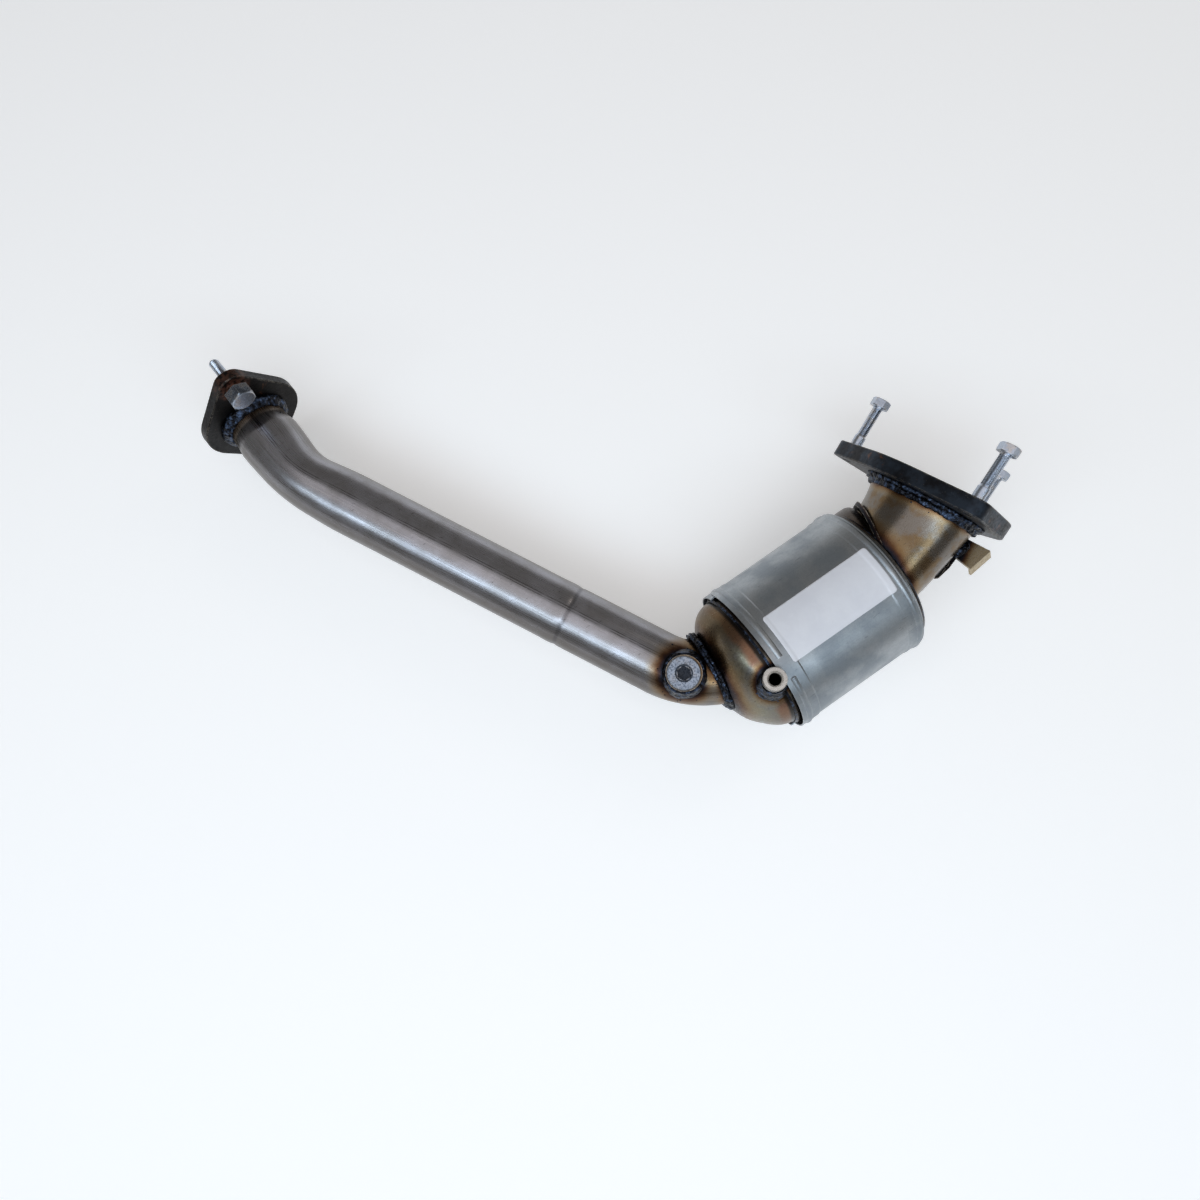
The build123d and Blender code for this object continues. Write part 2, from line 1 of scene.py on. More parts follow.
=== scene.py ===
"""Scene for a catalytic converter with a leaning inlet neck and a long bent outlet pipe.

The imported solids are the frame. This script dresses them: heat-tinted steel, lumpy weld beads with
spatter, rolled threads, a coated brick, a white sticker, a pale floor, soft lamps and the camera.
"""

import logging
import math
import random
from dataclasses import dataclass
from enum import Enum
from typing import ClassVar

import bmesh
import bpy
from mathutils import Matrix, Vector, noise
from mathutils.bvhtree import BVHTree


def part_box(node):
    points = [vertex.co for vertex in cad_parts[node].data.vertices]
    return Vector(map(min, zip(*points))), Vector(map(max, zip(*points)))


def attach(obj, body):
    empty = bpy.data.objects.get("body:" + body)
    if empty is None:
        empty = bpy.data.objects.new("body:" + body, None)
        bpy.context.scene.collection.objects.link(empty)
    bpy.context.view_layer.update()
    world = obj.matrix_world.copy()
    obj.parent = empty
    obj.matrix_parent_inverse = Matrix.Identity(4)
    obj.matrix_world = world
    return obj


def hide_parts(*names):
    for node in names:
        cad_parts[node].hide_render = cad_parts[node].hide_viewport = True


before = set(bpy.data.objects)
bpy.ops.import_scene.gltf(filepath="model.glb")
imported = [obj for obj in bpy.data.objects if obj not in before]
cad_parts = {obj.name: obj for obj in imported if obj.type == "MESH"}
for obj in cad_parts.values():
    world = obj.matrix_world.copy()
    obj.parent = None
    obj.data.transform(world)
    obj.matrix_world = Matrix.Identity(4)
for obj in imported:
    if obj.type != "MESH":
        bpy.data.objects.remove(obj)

LOG = logging.getLogger("converter")

Colour = tuple[float, float, float, float]
Triple = tuple[float, float, float]
Face = tuple[int, ...]
Socket = bpy.types.NodeSocket
Fed = float | tuple | Socket

# The can's own frame in millimetres, laid down as the part rests, gives the row frame in metres.
LAY_YAW = 34.61
LAY_ROLL = 5.3825
INLET_FACE = Vector((130.3, 32.2, 18.6))
TURN = Matrix.Rotation(math.radians(LAY_YAW), 4, "Z") @ Matrix.Rotation(math.radians(LAY_ROLL), 4, "X")
LAY = Matrix.Scale(0.001, 4) @ Matrix.Translation(-(TURN @ INLET_FACE)) @ TURN


class Slot(Enum):
    """The record's material slots, one named for each kind of new piece."""

    WELD = "weld_steel"
    ZINC = "zinc_plate"
    PIPE = "pipe_steel"
    SHIELD = "shield_steel"
    BRICK = "honeycomb"


def to_row(point: Vector) -> Vector:
    """Takes a place in the can's frame, in millimetres, to the row frame in metres."""
    return LAY @ point


def direction_to_row(way: Vector) -> Vector:
    """Takes a direction in the can's frame to the row frame."""
    return (TURN.to_3x3() @ way).normalized()


def heading(yaw: float, rise: float) -> Vector:
    """A unit direction in the can's frame from its turn and its rise in degrees."""
    a, b = math.radians(yaw), math.radians(rise)
    return Vector((math.cos(a) * math.cos(b), math.sin(a) * math.cos(b), math.sin(b)))


def rgb(red: int, green: int, blue: int) -> Colour:
    """A linear colour from a screen colour.

    Args:
        red: The red value, from 0 to 255.
        green: The green value.
        blue: The blue value.

    Returns:
        The linear colour, with its alpha.
    """
    values = []
    for part in (red, green, blue):
        share = part / 255
        values.append(share / 12.92 if share <= 0.04045 else ((share + 0.055) / 1.055) ** 2.4)
    return (values[0], values[1], values[2], 1.0)


@dataclass(frozen=True)
class Place:
    """A local frame in the can's frame: an origin, and the directions across, beside and out."""

    origin: Vector
    across: Vector
    out: Vector

    @classmethod
    def facing(cls, origin: Vector, out: Vector, towards: Vector) -> "Place":
        """A place at origin that faces out, with its first direction as near as can be to towards."""
        n = out.normalized()
        return cls(origin, (towards - n * towards.dot(n)).normalized(), n)

    @property
    def beside(self) -> Vector:
        """The third direction."""
        return self.out.cross(self.across)

    def at(self, x: float, y: float, z: float) -> Vector:
        """A point given in this place's own directions, in the can's frame."""
        return self.origin + self.across * x + self.beside * y + self.out * z


EAST = Vector((1.0, 0.0, 0.0))
UP = Vector((0.0, 0.0, 1.0))
INLET = Place.facing(INLET_FACE, heading(27.0, 15.5), Vector((-0.18, -0.24, 0.95)))
OUTLET_FACE = Vector((-273.0, 382.7, -36.5))
OUTLET_CORNER = Vector((-267.1, 319.3, -29.5))
ELBOW_CORNER = Vector((-105.9, 17.7, 1.0))
PIPE_END = Vector((-85.0, 8.2, 2.0))
OUTLET = Place.facing(OUTLET_FACE, OUTLET_FACE - OUTLET_CORNER, Vector((0.19, 0.14, 0.97)))
CAP = Place.facing(Vector((64.0, 0.0, 0.0)), heading(-15.0, 13.0), UP)
MOUTH = Place.facing(Vector((-87.1, 6.7, 0.0)), heading(173.2, 0.0), UP)
SENSOR = Place.facing(Vector((-106.0, 21.7, 1.0)), Vector((-0.09, 0.14, 0.99)), EAST)
PORT = Place.facing(Vector((-62.0, -11.5, 52.8)), Vector((-0.01, 0.22, 0.975)), EAST)
TAB = Place.facing(Vector((119.8, -18.3, 18.0)), UP, EAST)
CAN_END = Place.facing(Vector((57.5, 0.0, 0.0)), EAST, UP)
OUTLET_BOLT_REACH = 50.0
INLET_BOLT_REACH = 67.0
EAR = Place(OUTLET.at(OUTLET_BOLT_REACH, 0.0, 0.0), OUTLET.across, OUTLET.out)
RUN = (ELBOW_CORNER - OUTLET_CORNER).normalized()
RING_AT = 240.2
RING = Place.facing(OUTLET_CORNER + RUN * RING_AT, RUN, UP)


# Meshes.


def add_object(name: str, mesh: bpy.types.Mesh) -> bpy.types.Object:
    """Puts a mesh in the scene as a new object.

    Args:
        name: The object's name.
        mesh: The mesh.

    Returns:
        The object.
    """
    made = bpy.data.objects.new(name, mesh)
    bpy.context.scene.collection.objects.link(made)
    return made


def shade_smooth(mesh: bpy.types.Mesh) -> None:
    """Shades every face of a mesh smooth."""
    mesh.polygons.foreach_set("use_smooth", [True] * len(mesh.polygons))


def make_piece(name: str, points: list[Vector], faces: list[Face], smooth: bool = True) -> bpy.types.Object:
    """A new object in the row frame from points in the can's frame.

    Args:
        name: The piece's name.
        points: Its points, in millimetres.
        faces: Its faces, as indices of points.
        smooth: Whether its faces are shaded smooth.

    Returns:
        The object, linked to the scene.
    """
    mesh = bpy.data.meshes.new(name)
    mesh.from_pydata([to_row(p) for p in points], [], faces)
    mesh.update()
    if smooth:
        shade_smooth(mesh)
    return add_object(name, mesh)


def finish_piece(piece: bpy.types.Object, material: bpy.types.Material, slot: Slot, *nodes: str) -> None:
    """Gives a piece its material, rides it on the part and hides the CAD nodes that it stands for.

    Args:
        piece: The piece.
        material: Its material.
        slot: Its slot in the record; it is not used.
        *nodes: The CAD nodes that it replaces.
    """
    piece.data.materials.clear()
    piece.data.materials.append(material)
    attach(piece, "root")
    if nodes:
        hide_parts(*nodes)
    LOG.info("piece %s: %d faces", piece.name, len(piece.data.polygons))


def tube_faces(rings: int, around: int, offset: int = 0) -> list[Face]:
    """Quads that join rings of points one after another.

    Args:
        rings: How many rings there are.
        around: How many points each ring has.
        offset: The number of the first point.

    Returns:
        The faces.
    """
    faces = []
    for i in range(rings - 1):
        for j in range(around):
            k = (j + 1) % around
            a = offset + i * around
            faces.append((a + j, a + k, a + around + k, a + around + j))
    return faces


def remeshed_copy(node: str, name: str, voxel: float) -> bpy.types.Object:
    """A copy of a CAD node's mesh, remeshed to even small faces.

    Args:
        node: The CAD node's name.
        name: The new object's name.
        voxel: The size of its faces, in metres.

    Returns:
        The new object.
    """
    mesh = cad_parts[node].data.copy()
    work = bmesh.new()
    work.from_mesh(mesh)
    bmesh.ops.remove_doubles(work, verts=work.verts, dist=1e-6)
    work.to_mesh(mesh)
    work.free()
    piece = add_object(name, mesh)
    change = piece.modifiers.new("even", "REMESH")
    change.mode = "VOXEL"
    change.voxel_size = voxel
    change.use_smooth_shade = True
    seen = piece.evaluated_get(bpy.context.evaluated_depsgraph_get())
    even = bpy.data.meshes.new_from_object(seen)
    piece.modifiers.clear()
    piece.data = even
    piece.data.name = name
    return piece


# Node graphs.


class Graph:
    """Adds and joins nodes in one node tree."""

    def __init__(self, tree: bpy.types.NodeTree) -> None:
        """Starts with an existing tree."""
        self.tree = tree

    def node(self, kind: str, **settings: object) -> bpy.types.Node:
        """Adds a node.

        Args:
            kind: The node's type.
            **settings: Its properties.

        Returns:
            The node.
        """
        made = self.tree.nodes.new(kind)
        for name, value in settings.items():
            setattr(made, name, value)
        return made

    def feed(self, socket: Socket, value: Fed) -> None:
        """Joins a socket to another one, or sets its plain value.

        Args:
            socket: The input to feed.
            value: The other socket, or the value.
        """
        if isinstance(value, bpy.types.NodeSocket):
            self.tree.links.new(value, socket)
        else:
            socket.default_value = value

    def math(self, operation: str, first: Fed, second: Fed = 0.0, clamp: bool = False) -> Socket:
        """A number worked out from one or two others.

        Args:
            operation: The sum to do.
            first: The first number.
            second: The second number.
            clamp: Whether the result is held between 0 and 1.

        Returns:
            The result.
        """
        made = self.node("ShaderNodeMath", operation=operation, use_clamp=clamp)
        self.feed(made.inputs[0], first)
        self.feed(made.inputs[1], second)
        return made.outputs[0]

    def plus(self, first: Fed, second: Fed) -> Socket:
        """The sum of two numbers."""
        return self.math("ADD", first, second)

    def minus(self, first: Fed, second: Fed) -> Socket:
        """The first number less the second."""
        return self.math("SUBTRACT", first, second)

    def times(self, first: Fed, second: Fed) -> Socket:
        """The product of two numbers."""
        return self.math("MULTIPLY", first, second)

    def vector(self, operation: str, first: Fed, second: Fed = (0.0, 0.0, 0.0)) -> Socket:
        """A vector, or a number, worked out from one or two vectors.

        Args:
            operation: The sum to do.
            first: The first vector.
            second: The second vector, or the factor of a scaling.

        Returns:
            The result.
        """
        made = self.node("ShaderNodeVectorMath", operation=operation)
        self.feed(made.inputs[0], first)
        self.feed(made.inputs["Scale" if operation == "SCALE" else 1], second)
        return made.outputs["Value" if operation in ("DOT_PRODUCT", "LENGTH") else "Vector"]

    def split(self, vector: Socket) -> tuple[Socket, Socket, Socket]:
        """The three parts of a vector.

        Args:
            vector: The vector.

        Returns:
            Its parts.
        """
        made = self.node("ShaderNodeSeparateXYZ")
        self.feed(made.inputs[0], vector)
        return made.outputs[0], made.outputs[1], made.outputs[2]

    def mapped(self, vector: Socket, kind: str = "POINT", **settings: Fed) -> Socket:
        """A vector moved, turned and scaled.

        Args:
            vector: The vector.
            kind: POINT, or TEXTURE for the reverse.
            **settings: The Location, Rotation and Scale.

        Returns:
            The changed vector.
        """
        made = self.node("ShaderNodeMapping", vector_type=kind)
        self.feed(made.inputs["Vector"], vector)
        for name, value in settings.items():
            made.inputs[name].default_value = value
        return made.outputs["Vector"]

    def span(self, value: Fed, low: float, high: float, start: float = 0.0, end: float = 1.0) -> Socket:
        """A value between two limits eased to a value between two others.

        Args:
            value: The value.
            low: Its lower limit.
            high: Its upper limit.
            start: What the lower limit becomes.
            end: What the upper limit becomes.

        Returns:
            The eased value.
        """
        made = self.node("ShaderNodeMapRange", interpolation_type="SMOOTHSTEP")
        for i, item in enumerate((value, low, high, start, end)):
            self.feed(made.inputs[i], item)
        return made.outputs[0]

    def mix(self, share: Fed, first: Fed, second: Fed) -> Socket:
        """A colour between two others.

        Args:
            share: How much of the second colour there is.
            first: The first colour.
            second: The second colour.

        Returns:
            The mixed colour.
        """
        made = self.node("ShaderNodeMix", data_type="RGBA")
        for i, item in ((0, share), (6, first), (7, second)):
            self.feed(made.inputs[i], item)
        return made.outputs[2]

    def noise(self, vector: Fed, scale: float, detail: float = 2.0, rough: float = 0.5) -> Socket:
        """Soft noise of one scale.

        Args:
            vector: Where it is read.
            scale: How fine it is.
            detail: How many finer layers it has.
            rough: How strong they are.

        Returns:
            The noise, from 0 to 1.
        """
        made = self.node("ShaderNodeTexNoise")
        for name, item in (("Vector", vector), ("Scale", scale), ("Detail", detail), ("Roughness", rough)):
            self.feed(made.inputs[name], item)
        return made.outputs["Fac"]

    def ramp(self, value: Fed, stops: list[tuple[float, Colour]]) -> Socket:
        """A colour read from a ramp.

        Args:
            value: Where on the ramp.
            stops: The places and colours of its stops.

        Returns:
            The colour.
        """
        made = self.node("ShaderNodeValToRGB")
        ramp = made.color_ramp
        while len(ramp.elements) < len(stops):
            ramp.elements.new(0.5)
        for element, (place, colour) in zip(ramp.elements, stops):
            element.position = place
            element.color = colour
        self.feed(made.inputs[0], value)
        return made.outputs[0]

    def group(self, tree: bpy.types.NodeTree, **values: Fed) -> bpy.types.NodeOutputs:
        """Places a shared node group.

        Args:
            tree: The group.
            **values: What its inputs are fed.

        Returns:
            Its outputs, by name.
        """
        made = self.node("ShaderNodeGroup")
        made.node_tree = tree
        for name, value in values.items():
            self.feed(made.inputs[name], value)
        return made.outputs


Sockets = dict[str, Socket]


def new_group(
    name: str, takes: dict[str, str], gives: dict[str, str]
) -> tuple[bpy.types.NodeTree, Graph, Sockets, Sockets]:
    """A new shader node group with named inputs and outputs.

    Args:
        name: The group's name.
        takes: Input names and their socket kinds.
        gives: Output names and their socket kinds.

    Returns:
        The tree, its graph, its inputs by name, and the sockets to feed by output name.
    """
    tree = bpy.data.node_groups.new(name, "ShaderNodeTree")
    for way, sockets in (("INPUT", takes), ("OUTPUT", gives)):
        for label, kind in sockets.items():
            tree.interface.new_socket(name=label, in_out=way, socket_type=kind)
    graph = Graph(tree)
    first = graph.node("NodeGroupInput")
    last = graph.node("NodeGroupOutput")
    given = {label: first.outputs[label] for label in takes}
    return tree, graph, given, {label: last.inputs[label] for label in gives}


FLOAT, VECTOR, COLOUR = "NodeSocketFloat", "NodeSocketVector", "NodeSocketColor"


class Effects:
    """The node groups that several materials share, each built once."""

    def __init__(self) -> None:
        """Builds every group."""
        self.can_place = self._can_place()
        self.distance = self._distance()
        self.heat_tint = self._heat_tint()
        self.grain = self._grain()
        self.marks = self._marks()
        self.edge_wear = self._edge_wear()

    def _can_place(self) -> bpy.types.NodeTree:
        """The shaded point in the can's frame, in millimetres.

        Returns:
            The group.
        """
        tree, graph, _, gives = new_group("can place", {}, {"Vector": VECTOR})
        where = graph.node("ShaderNodeTexCoord").outputs["Object"]
        place, turn, scale = LAY.to_translation(), TURN.to_euler(), (0.001, 0.001, 0.001)
        spot = graph.mapped(where, "TEXTURE", Location=place, Rotation=turn, Scale=scale)
        graph.feed(gives["Vector"], spot)
        return tree

    def _distance(self) -> bpy.types.NodeTree:
        """How far the point lies ahead of a plane, and away from the line through its origin.

        Returns:
            The group.
        """
        takes = {"Vector": VECTOR, "Origin": VECTOR, "Facing": VECTOR}
        tree, graph, given, gives = new_group("distance", takes, {"Ahead": FLOAT, "Away": FLOAT})
        off = graph.vector("SUBTRACT", given["Vector"], given["Origin"])
        graph.feed(gives["Ahead"], graph.vector("DOT_PRODUCT", off, given["Facing"]))
        side = graph.vector("CROSS_PRODUCT", off, given["Facing"])
        graph.feed(gives["Away"], graph.vector("LENGTH", side))
        return tree

    def _heat_tint(self) -> bpy.types.NodeTree:
        """Oxide colours that fade with distance from a weld, with an uneven edge.

        Returns:
            The group.
        """
        takes = {"Vector": VECTOR, "Distance": FLOAT, "Reach": FLOAT, "Uneven": FLOAT}
        tree, graph, given, gives = new_group("heat tint", takes, {"Color": COLOUR, "Mask": FLOAT})
        wave = graph.minus(graph.noise(given["Vector"], 0.09, 3.0, 0.6), 0.5)
        off = graph.plus(given["Distance"], graph.times(wave, given["Uneven"]))
        share = graph.math("DIVIDE", off, given["Reach"], clamp=True)
        stops = [
            (0.0, rgb(24, 24, 27)),
            (0.1, rgb(32, 33, 40)),
            (0.2, rgb(54, 40, 38)),
            (0.32, rgb(88, 62, 42)),
            (0.5, rgb(124, 99, 68)),
            (0.75, rgb(146, 130, 103)),
            (1.0, rgb(152, 144, 130)),
        ]
        graph.feed(gives["Color"], graph.ramp(share, stops))
        graph.feed(gives["Mask"], graph.span(share, 0.25, 1.0, 1.0, 0.0))
        return tree

    def _grain(self) -> bpy.types.NodeTree:
        """Fine streaks along the first direction of a vector, for colour, roughness and height.

        Returns:
            The group.
        """
        takes = {"Vector": VECTOR, "Along": FLOAT, "Across": FLOAT}
        tree, graph, given, gives = new_group("grain", takes, {"Value": FLOAT, "Coarse": FLOAT})
        joined = graph.node("ShaderNodeCombineXYZ")
        for i, part in enumerate(graph.split(given["Vector"])):
            graph.feed(joined.inputs[i], graph.times(part, given["Across" if i else "Along"]))
        graph.feed(gives["Value"], graph.noise(joined.outputs[0], 1.0, 4.0, 0.65))
        graph.feed(gives["Coarse"], graph.noise(joined.outputs[0], 0.22, 2.0, 0.5))
        return tree

    def _marks(self) -> bpy.types.NodeTree:
        """Sparse dark nicks, bright specks and a slow cloud on bare metal.

        Returns:
            The group.
        """
        takes = {"Vector": VECTOR, "Scale": FLOAT}
        marked = {"Nicks": FLOAT, "Specks": FLOAT, "Cloud": FLOAT}
        tree, graph, given, gives = new_group("marks", takes, marked)
        spot = graph.vector("SCALE", given["Vector"], given["Scale"])
        bent = graph.mapped(spot, Rotation=(0.3, 0.5, 0.9), Scale=(0.35, 1.6, 1.0))
        graph.feed(gives["Nicks"], graph.span(graph.noise(bent, 0.55, 1.0), 0.72, 0.77))
        cells = graph.node("ShaderNodeTexVoronoi")
        graph.feed(cells.inputs["Vector"], spot)
        cells.inputs["Scale"].default_value = 0.55
        near = graph.span(cells.outputs["Distance"], 0.06, 0.14, 1.0, 0.0)
        some = graph.span(graph.noise(spot, 0.12, 2.0), 0.52, 0.6)
        graph.feed(gives["Specks"], graph.times(near, some))
        graph.feed(gives["Cloud"], graph.noise(spot, 0.05, 4.0, 0.6))
        return tree

    def _edge_wear(self) -> bpy.types.NodeTree:
        """A mask along sharp edges, broken up by noise.

        Returns:
            The group.
        """
        takes = {"Vector": VECTOR, "Amount": FLOAT}
        tree, graph, given, gives = new_group("edge wear", takes, {"Mask": FLOAT})
        soft = graph.node("ShaderNodeBevel", samples=6)
        soft.inputs["Radius"].default_value = 0.0009
        shape = graph.node("ShaderNodeNewGeometry")
        facing = graph.vector("DOT_PRODUCT", soft.outputs[0], shape.outputs["Normal"])
        edge = graph.span(facing, 0.9, 0.995, 1.0, 0.0)
        patch = graph.span(graph.noise(given["Vector"], 0.35, 4.0, 0.7), 0.38, 0.6)
        worn = graph.times(edge, patch)
        graph.feed(gives["Mask"], graph.math("MULTIPLY", worn, given["Amount"], clamp=True))
        return tree


class Coat:
    """A material in the making, on which layers of colour are laid one over another."""

    def __init__(self, name: str, effects: Effects, base: Colour, metallic: float) -> None:
        """Starts a material with a Principled shader and the point in the can's frame.

        Args:
            name: The material's name.
            effects: The shared node groups.
            base: The colour under all the layers.
            metallic: How far it is bare metal, from 0 to 1.
        """
        self.material = bpy.data.materials.new(name)
        self.material.use_nodes = True
        self.material.node_tree.nodes.clear()
        self.graph = Graph(self.material.node_tree)
        self.effects = effects
        self.colour: Fed = base
        self.shader = self.graph.node("ShaderNodeBsdfPrincipled")
        self.shader.inputs["Metallic"].default_value = metallic
        output = self.graph.node("ShaderNodeOutputMaterial")
        self.graph.feed(output.inputs["Surface"], self.shader.outputs[0])
        self.spot = self.graph.group(effects.can_place)["Vector"]

    def _distance(self, place: Place) -> bpy.types.NodeOutputs:
        """How far the shaded point lies from a place."""
        origin, out = tuple(place.origin), tuple(place.out)
        return self.graph.group(self.effects.distance, Vector=self.spot, Origin=origin, Facing=out)

    def ahead(self, place: Place) -> Socket:
        """How far the shaded point lies in front of a place's plane."""
        return self._distance(place)["Ahead"]

    def away(self, place: Place) -> Socket:
        """How far the shaded point lies from a place's axis."""
        return self._distance(place)["Away"]

    def grain(self, along: float, across: float, vector: Socket | None = None) -> bpy.types.NodeOutputs:
        """The streaks of the grain group, read at the shaded point or at a vector."""
        spot = self.spot if vector is None else vector
        return self.graph.group(self.effects.grain, Vector=spot, Along=along, Across=across)

    def marks(self, scale: float) -> bpy.types.NodeOutputs:
        """The nicks, specks and cloud of the marks group."""
        return self.graph.group(self.effects.marks, Vector=self.spot, Scale=scale)

    def lay(self, mask: Fed, colour: Fed, share: float = 1.0) -> None:
        """Lays a colour over the ones so far.

        Args:
            mask: Where it lies.
            colour: The colour.
            share: How much it covers at most.
        """
        if share != 1.0:
            mask = self.graph.times(mask, share)
        self.colour = self.graph.mix(mask, self.colour, colour)

    def heat(self, distance: Socket, reach: float, uneven: float) -> None:
        """Lays heat tint over the colours so far.

        Args:
            distance: How far the weld is.
            reach: How far the tint goes, in millimetres.
            uneven: How far its edge wanders.
        """
        tint = self.graph.group(
            self.effects.heat_tint, Vector=self.spot, Distance=distance, Reach=reach, Uneven=uneven
        )
        self.lay(tint["Mask"], tint["Color"])

    def wear(self, amount: float, colour: Colour) -> None:
        """Lays a colour along the worn edges."""
        self.lay(self.graph.group(self.effects.edge_wear, Vector=self.spot, Amount=amount)["Mask"], colour)

    def close(self, rough: Socket, height: Socket, strength: float, deep: float) -> None:
        """Feeds the shader its colour, roughness and bump.

        Args:
            rough: The roughness.
            height: The height of the bump.
            strength: How strong the bump is.
            deep: How deep it is, in metres.
        """
        bump = self.graph.node("ShaderNodeBump")
        bump.inputs["Strength"].default_value = strength
        bump.inputs["Distance"].default_value = deep
        self.graph.feed(bump.inputs["Height"], height)
        feeds = {"Base Color": self.colour, "Roughness": rough, "Normal": bump.outputs["Normal"]}
        for name, value in feeds.items():
            self.graph.feed(self.shader.inputs[name], value)


@dataclass(frozen=True)
class Finish:
    """A finish with its name and main colour; each kind paints its own layers."""

    metallic: ClassVar[float] = 1.0

    name: str
    base: Colour

    def build(self, effects: Effects) -> bpy.types.Material:
        """Builds the material.

        Args:
            effects: The shared node groups.

        Returns:
            The material.
        """
        coat = Coat(self.name, effects, self.base, self.metallic)
        self.paint(coat)
        return coat.material

    def paint(self, coat: Coat) -> None:
        """Lays the finish on a new coat; each kind has its own."""
        raise NotImplementedError


@dataclass(frozen=True)
class PipeSteel(Finish):
    """Drawn tube: cool satin grey, fine lines along it, a welded seam, painted shade on its flanks and heat
    tint at its ends.
    """

    name: str = "pipe_skin"
    base: Colour = rgb(164, 163, 168)
    cloudy: Colour = rgb(150, 148, 150)
    dark: Colour = rgb(104, 98, 94)
    painted_flank_shade: Colour = rgb(86, 78, 68)
    ring: Colour = rgb(72, 70, 74)
    weld_line: Colour = rgb(62, 56, 54)
    nick: Colour = rgb(58, 54, 52)
    speck: Colour = rgb(226, 226, 232)
    roughness: float = 0.27
    radius: float = 24.75
    seam: float = 0.0

    def paint(self, coat: Coat) -> None:
        """Paints the tube; it reads the drawn attribute that the pipe piece carries.

        Args:
            coat: The new coat.
        """
        g = coat.graph
        drawn = g.node("ShaderNodeAttribute", attribute_name="drawn").outputs["Vector"]
        grain = coat.grain(0.02, 34.0, drawn)
        marks = coat.marks(1.0)
        coat.lay(g.span(marks["Cloud"], 0.35, 0.65), self.cloudy)
        coat.lay(g.span(grain["Value"], 0.56, 0.72), self.dark, 0.35)
        along, across, beside = g.split(drawn)
        seam_x, seam_y = math.cos(self.seam), math.sin(self.seam)
        side = g.minus(g.times(beside, seam_x), g.times(across, seam_y))
        front = g.plus(g.times(across, seam_x), g.times(beside, seam_y))
        turn = g.math("ARCTAN2", side, front)
        # Painted shade: the tube is darkened towards its sides and underside, standing in for a dark
        # reflection there.
        coat.lay(g.span(g.math("ABSOLUTE", turn), 0.65, 1.25, 0.0, 0.72), self.painted_flank_shade)
        coat.lay(g.span(g.math("ABSOLUTE", coat.ahead(RING)), 0.6, 2.4, 0.42, 0.0), self.ring)
        off = g.math("ABSOLUTE", g.times(turn, self.radius))
        line = g.span(g.math("ABSOLUTE", g.minus(off, 0.9)), 0.12, 0.42, 1.0, 0.0)
        broken = g.span(g.noise(drawn, 0.05, 3.0), 0.36, 0.55)
        coat.lay(g.times(line, broken), self.weld_line, 0.75)
        coat.lay(marks["Nicks"], self.nick, 0.6)
        coat.lay(marks["Specks"], self.speck, 0.8)
        coat.heat(g.plus(along, 1.0), 20.0, 4.0)
        coat.heat(g.minus(coat.away(SENSOR), 15.5), 16.0, 6.0)
        coat.heat(g.minus(coat.ahead(MOUTH), 0.5), 15.0, 6.0)
        rough = g.span(grain["Value"], 0.3, 0.7, self.roughness - 0.05, self.roughness + 0.12)
        coat.close(rough, g.plus(grain["Value"], g.times(grain["Coarse"], 0.4)), 0.22, 0.0001)


@dataclass(frozen=True)
class ShieldSteel(Finish):
    """Light satin coated sheet with faint streaks along the can."""

    name: str = "shield_skin"
    base: Colour = rgb(176, 180, 183)
    cool: Colour = rgb(150, 157, 163)
    spangle: Colour = rgb(128, 134, 138)
    streak: Colour = rgb(120, 124, 126)
    nick: Colour = rgb(104, 104, 104)
    edge: Colour = rgb(224, 224, 224)

    def paint(self, coat: Coat) -> None:
        """Paints the sheet.

        Args:
            coat: The new coat.
        """
        g = coat.graph
        grain = coat.grain(0.03, 1.1)
        marks = coat.marks(0.7)
        coat.lay(g.span(marks["Cloud"], 0.35, 0.65), self.cool)
        coat.lay(g.span(g.noise(coat.spot, 0.9, 3.0, 0.7), 0.42, 0.62), self.spangle, 0.22)
        coat.lay(g.span(grain["Value"], 0.5, 0.75), self.streak, 0.2)
        coat.lay(marks["Nicks"], self.nick, 0.35)
        coat.wear(0.6, self.edge)
        height = g.plus(g.times(grain["Value"], 0.3), marks["Cloud"])
        coat.close(g.span(marks["Cloud"], 0.3, 0.7, 0.38, 0.5), height, 0.16, 0.00012)


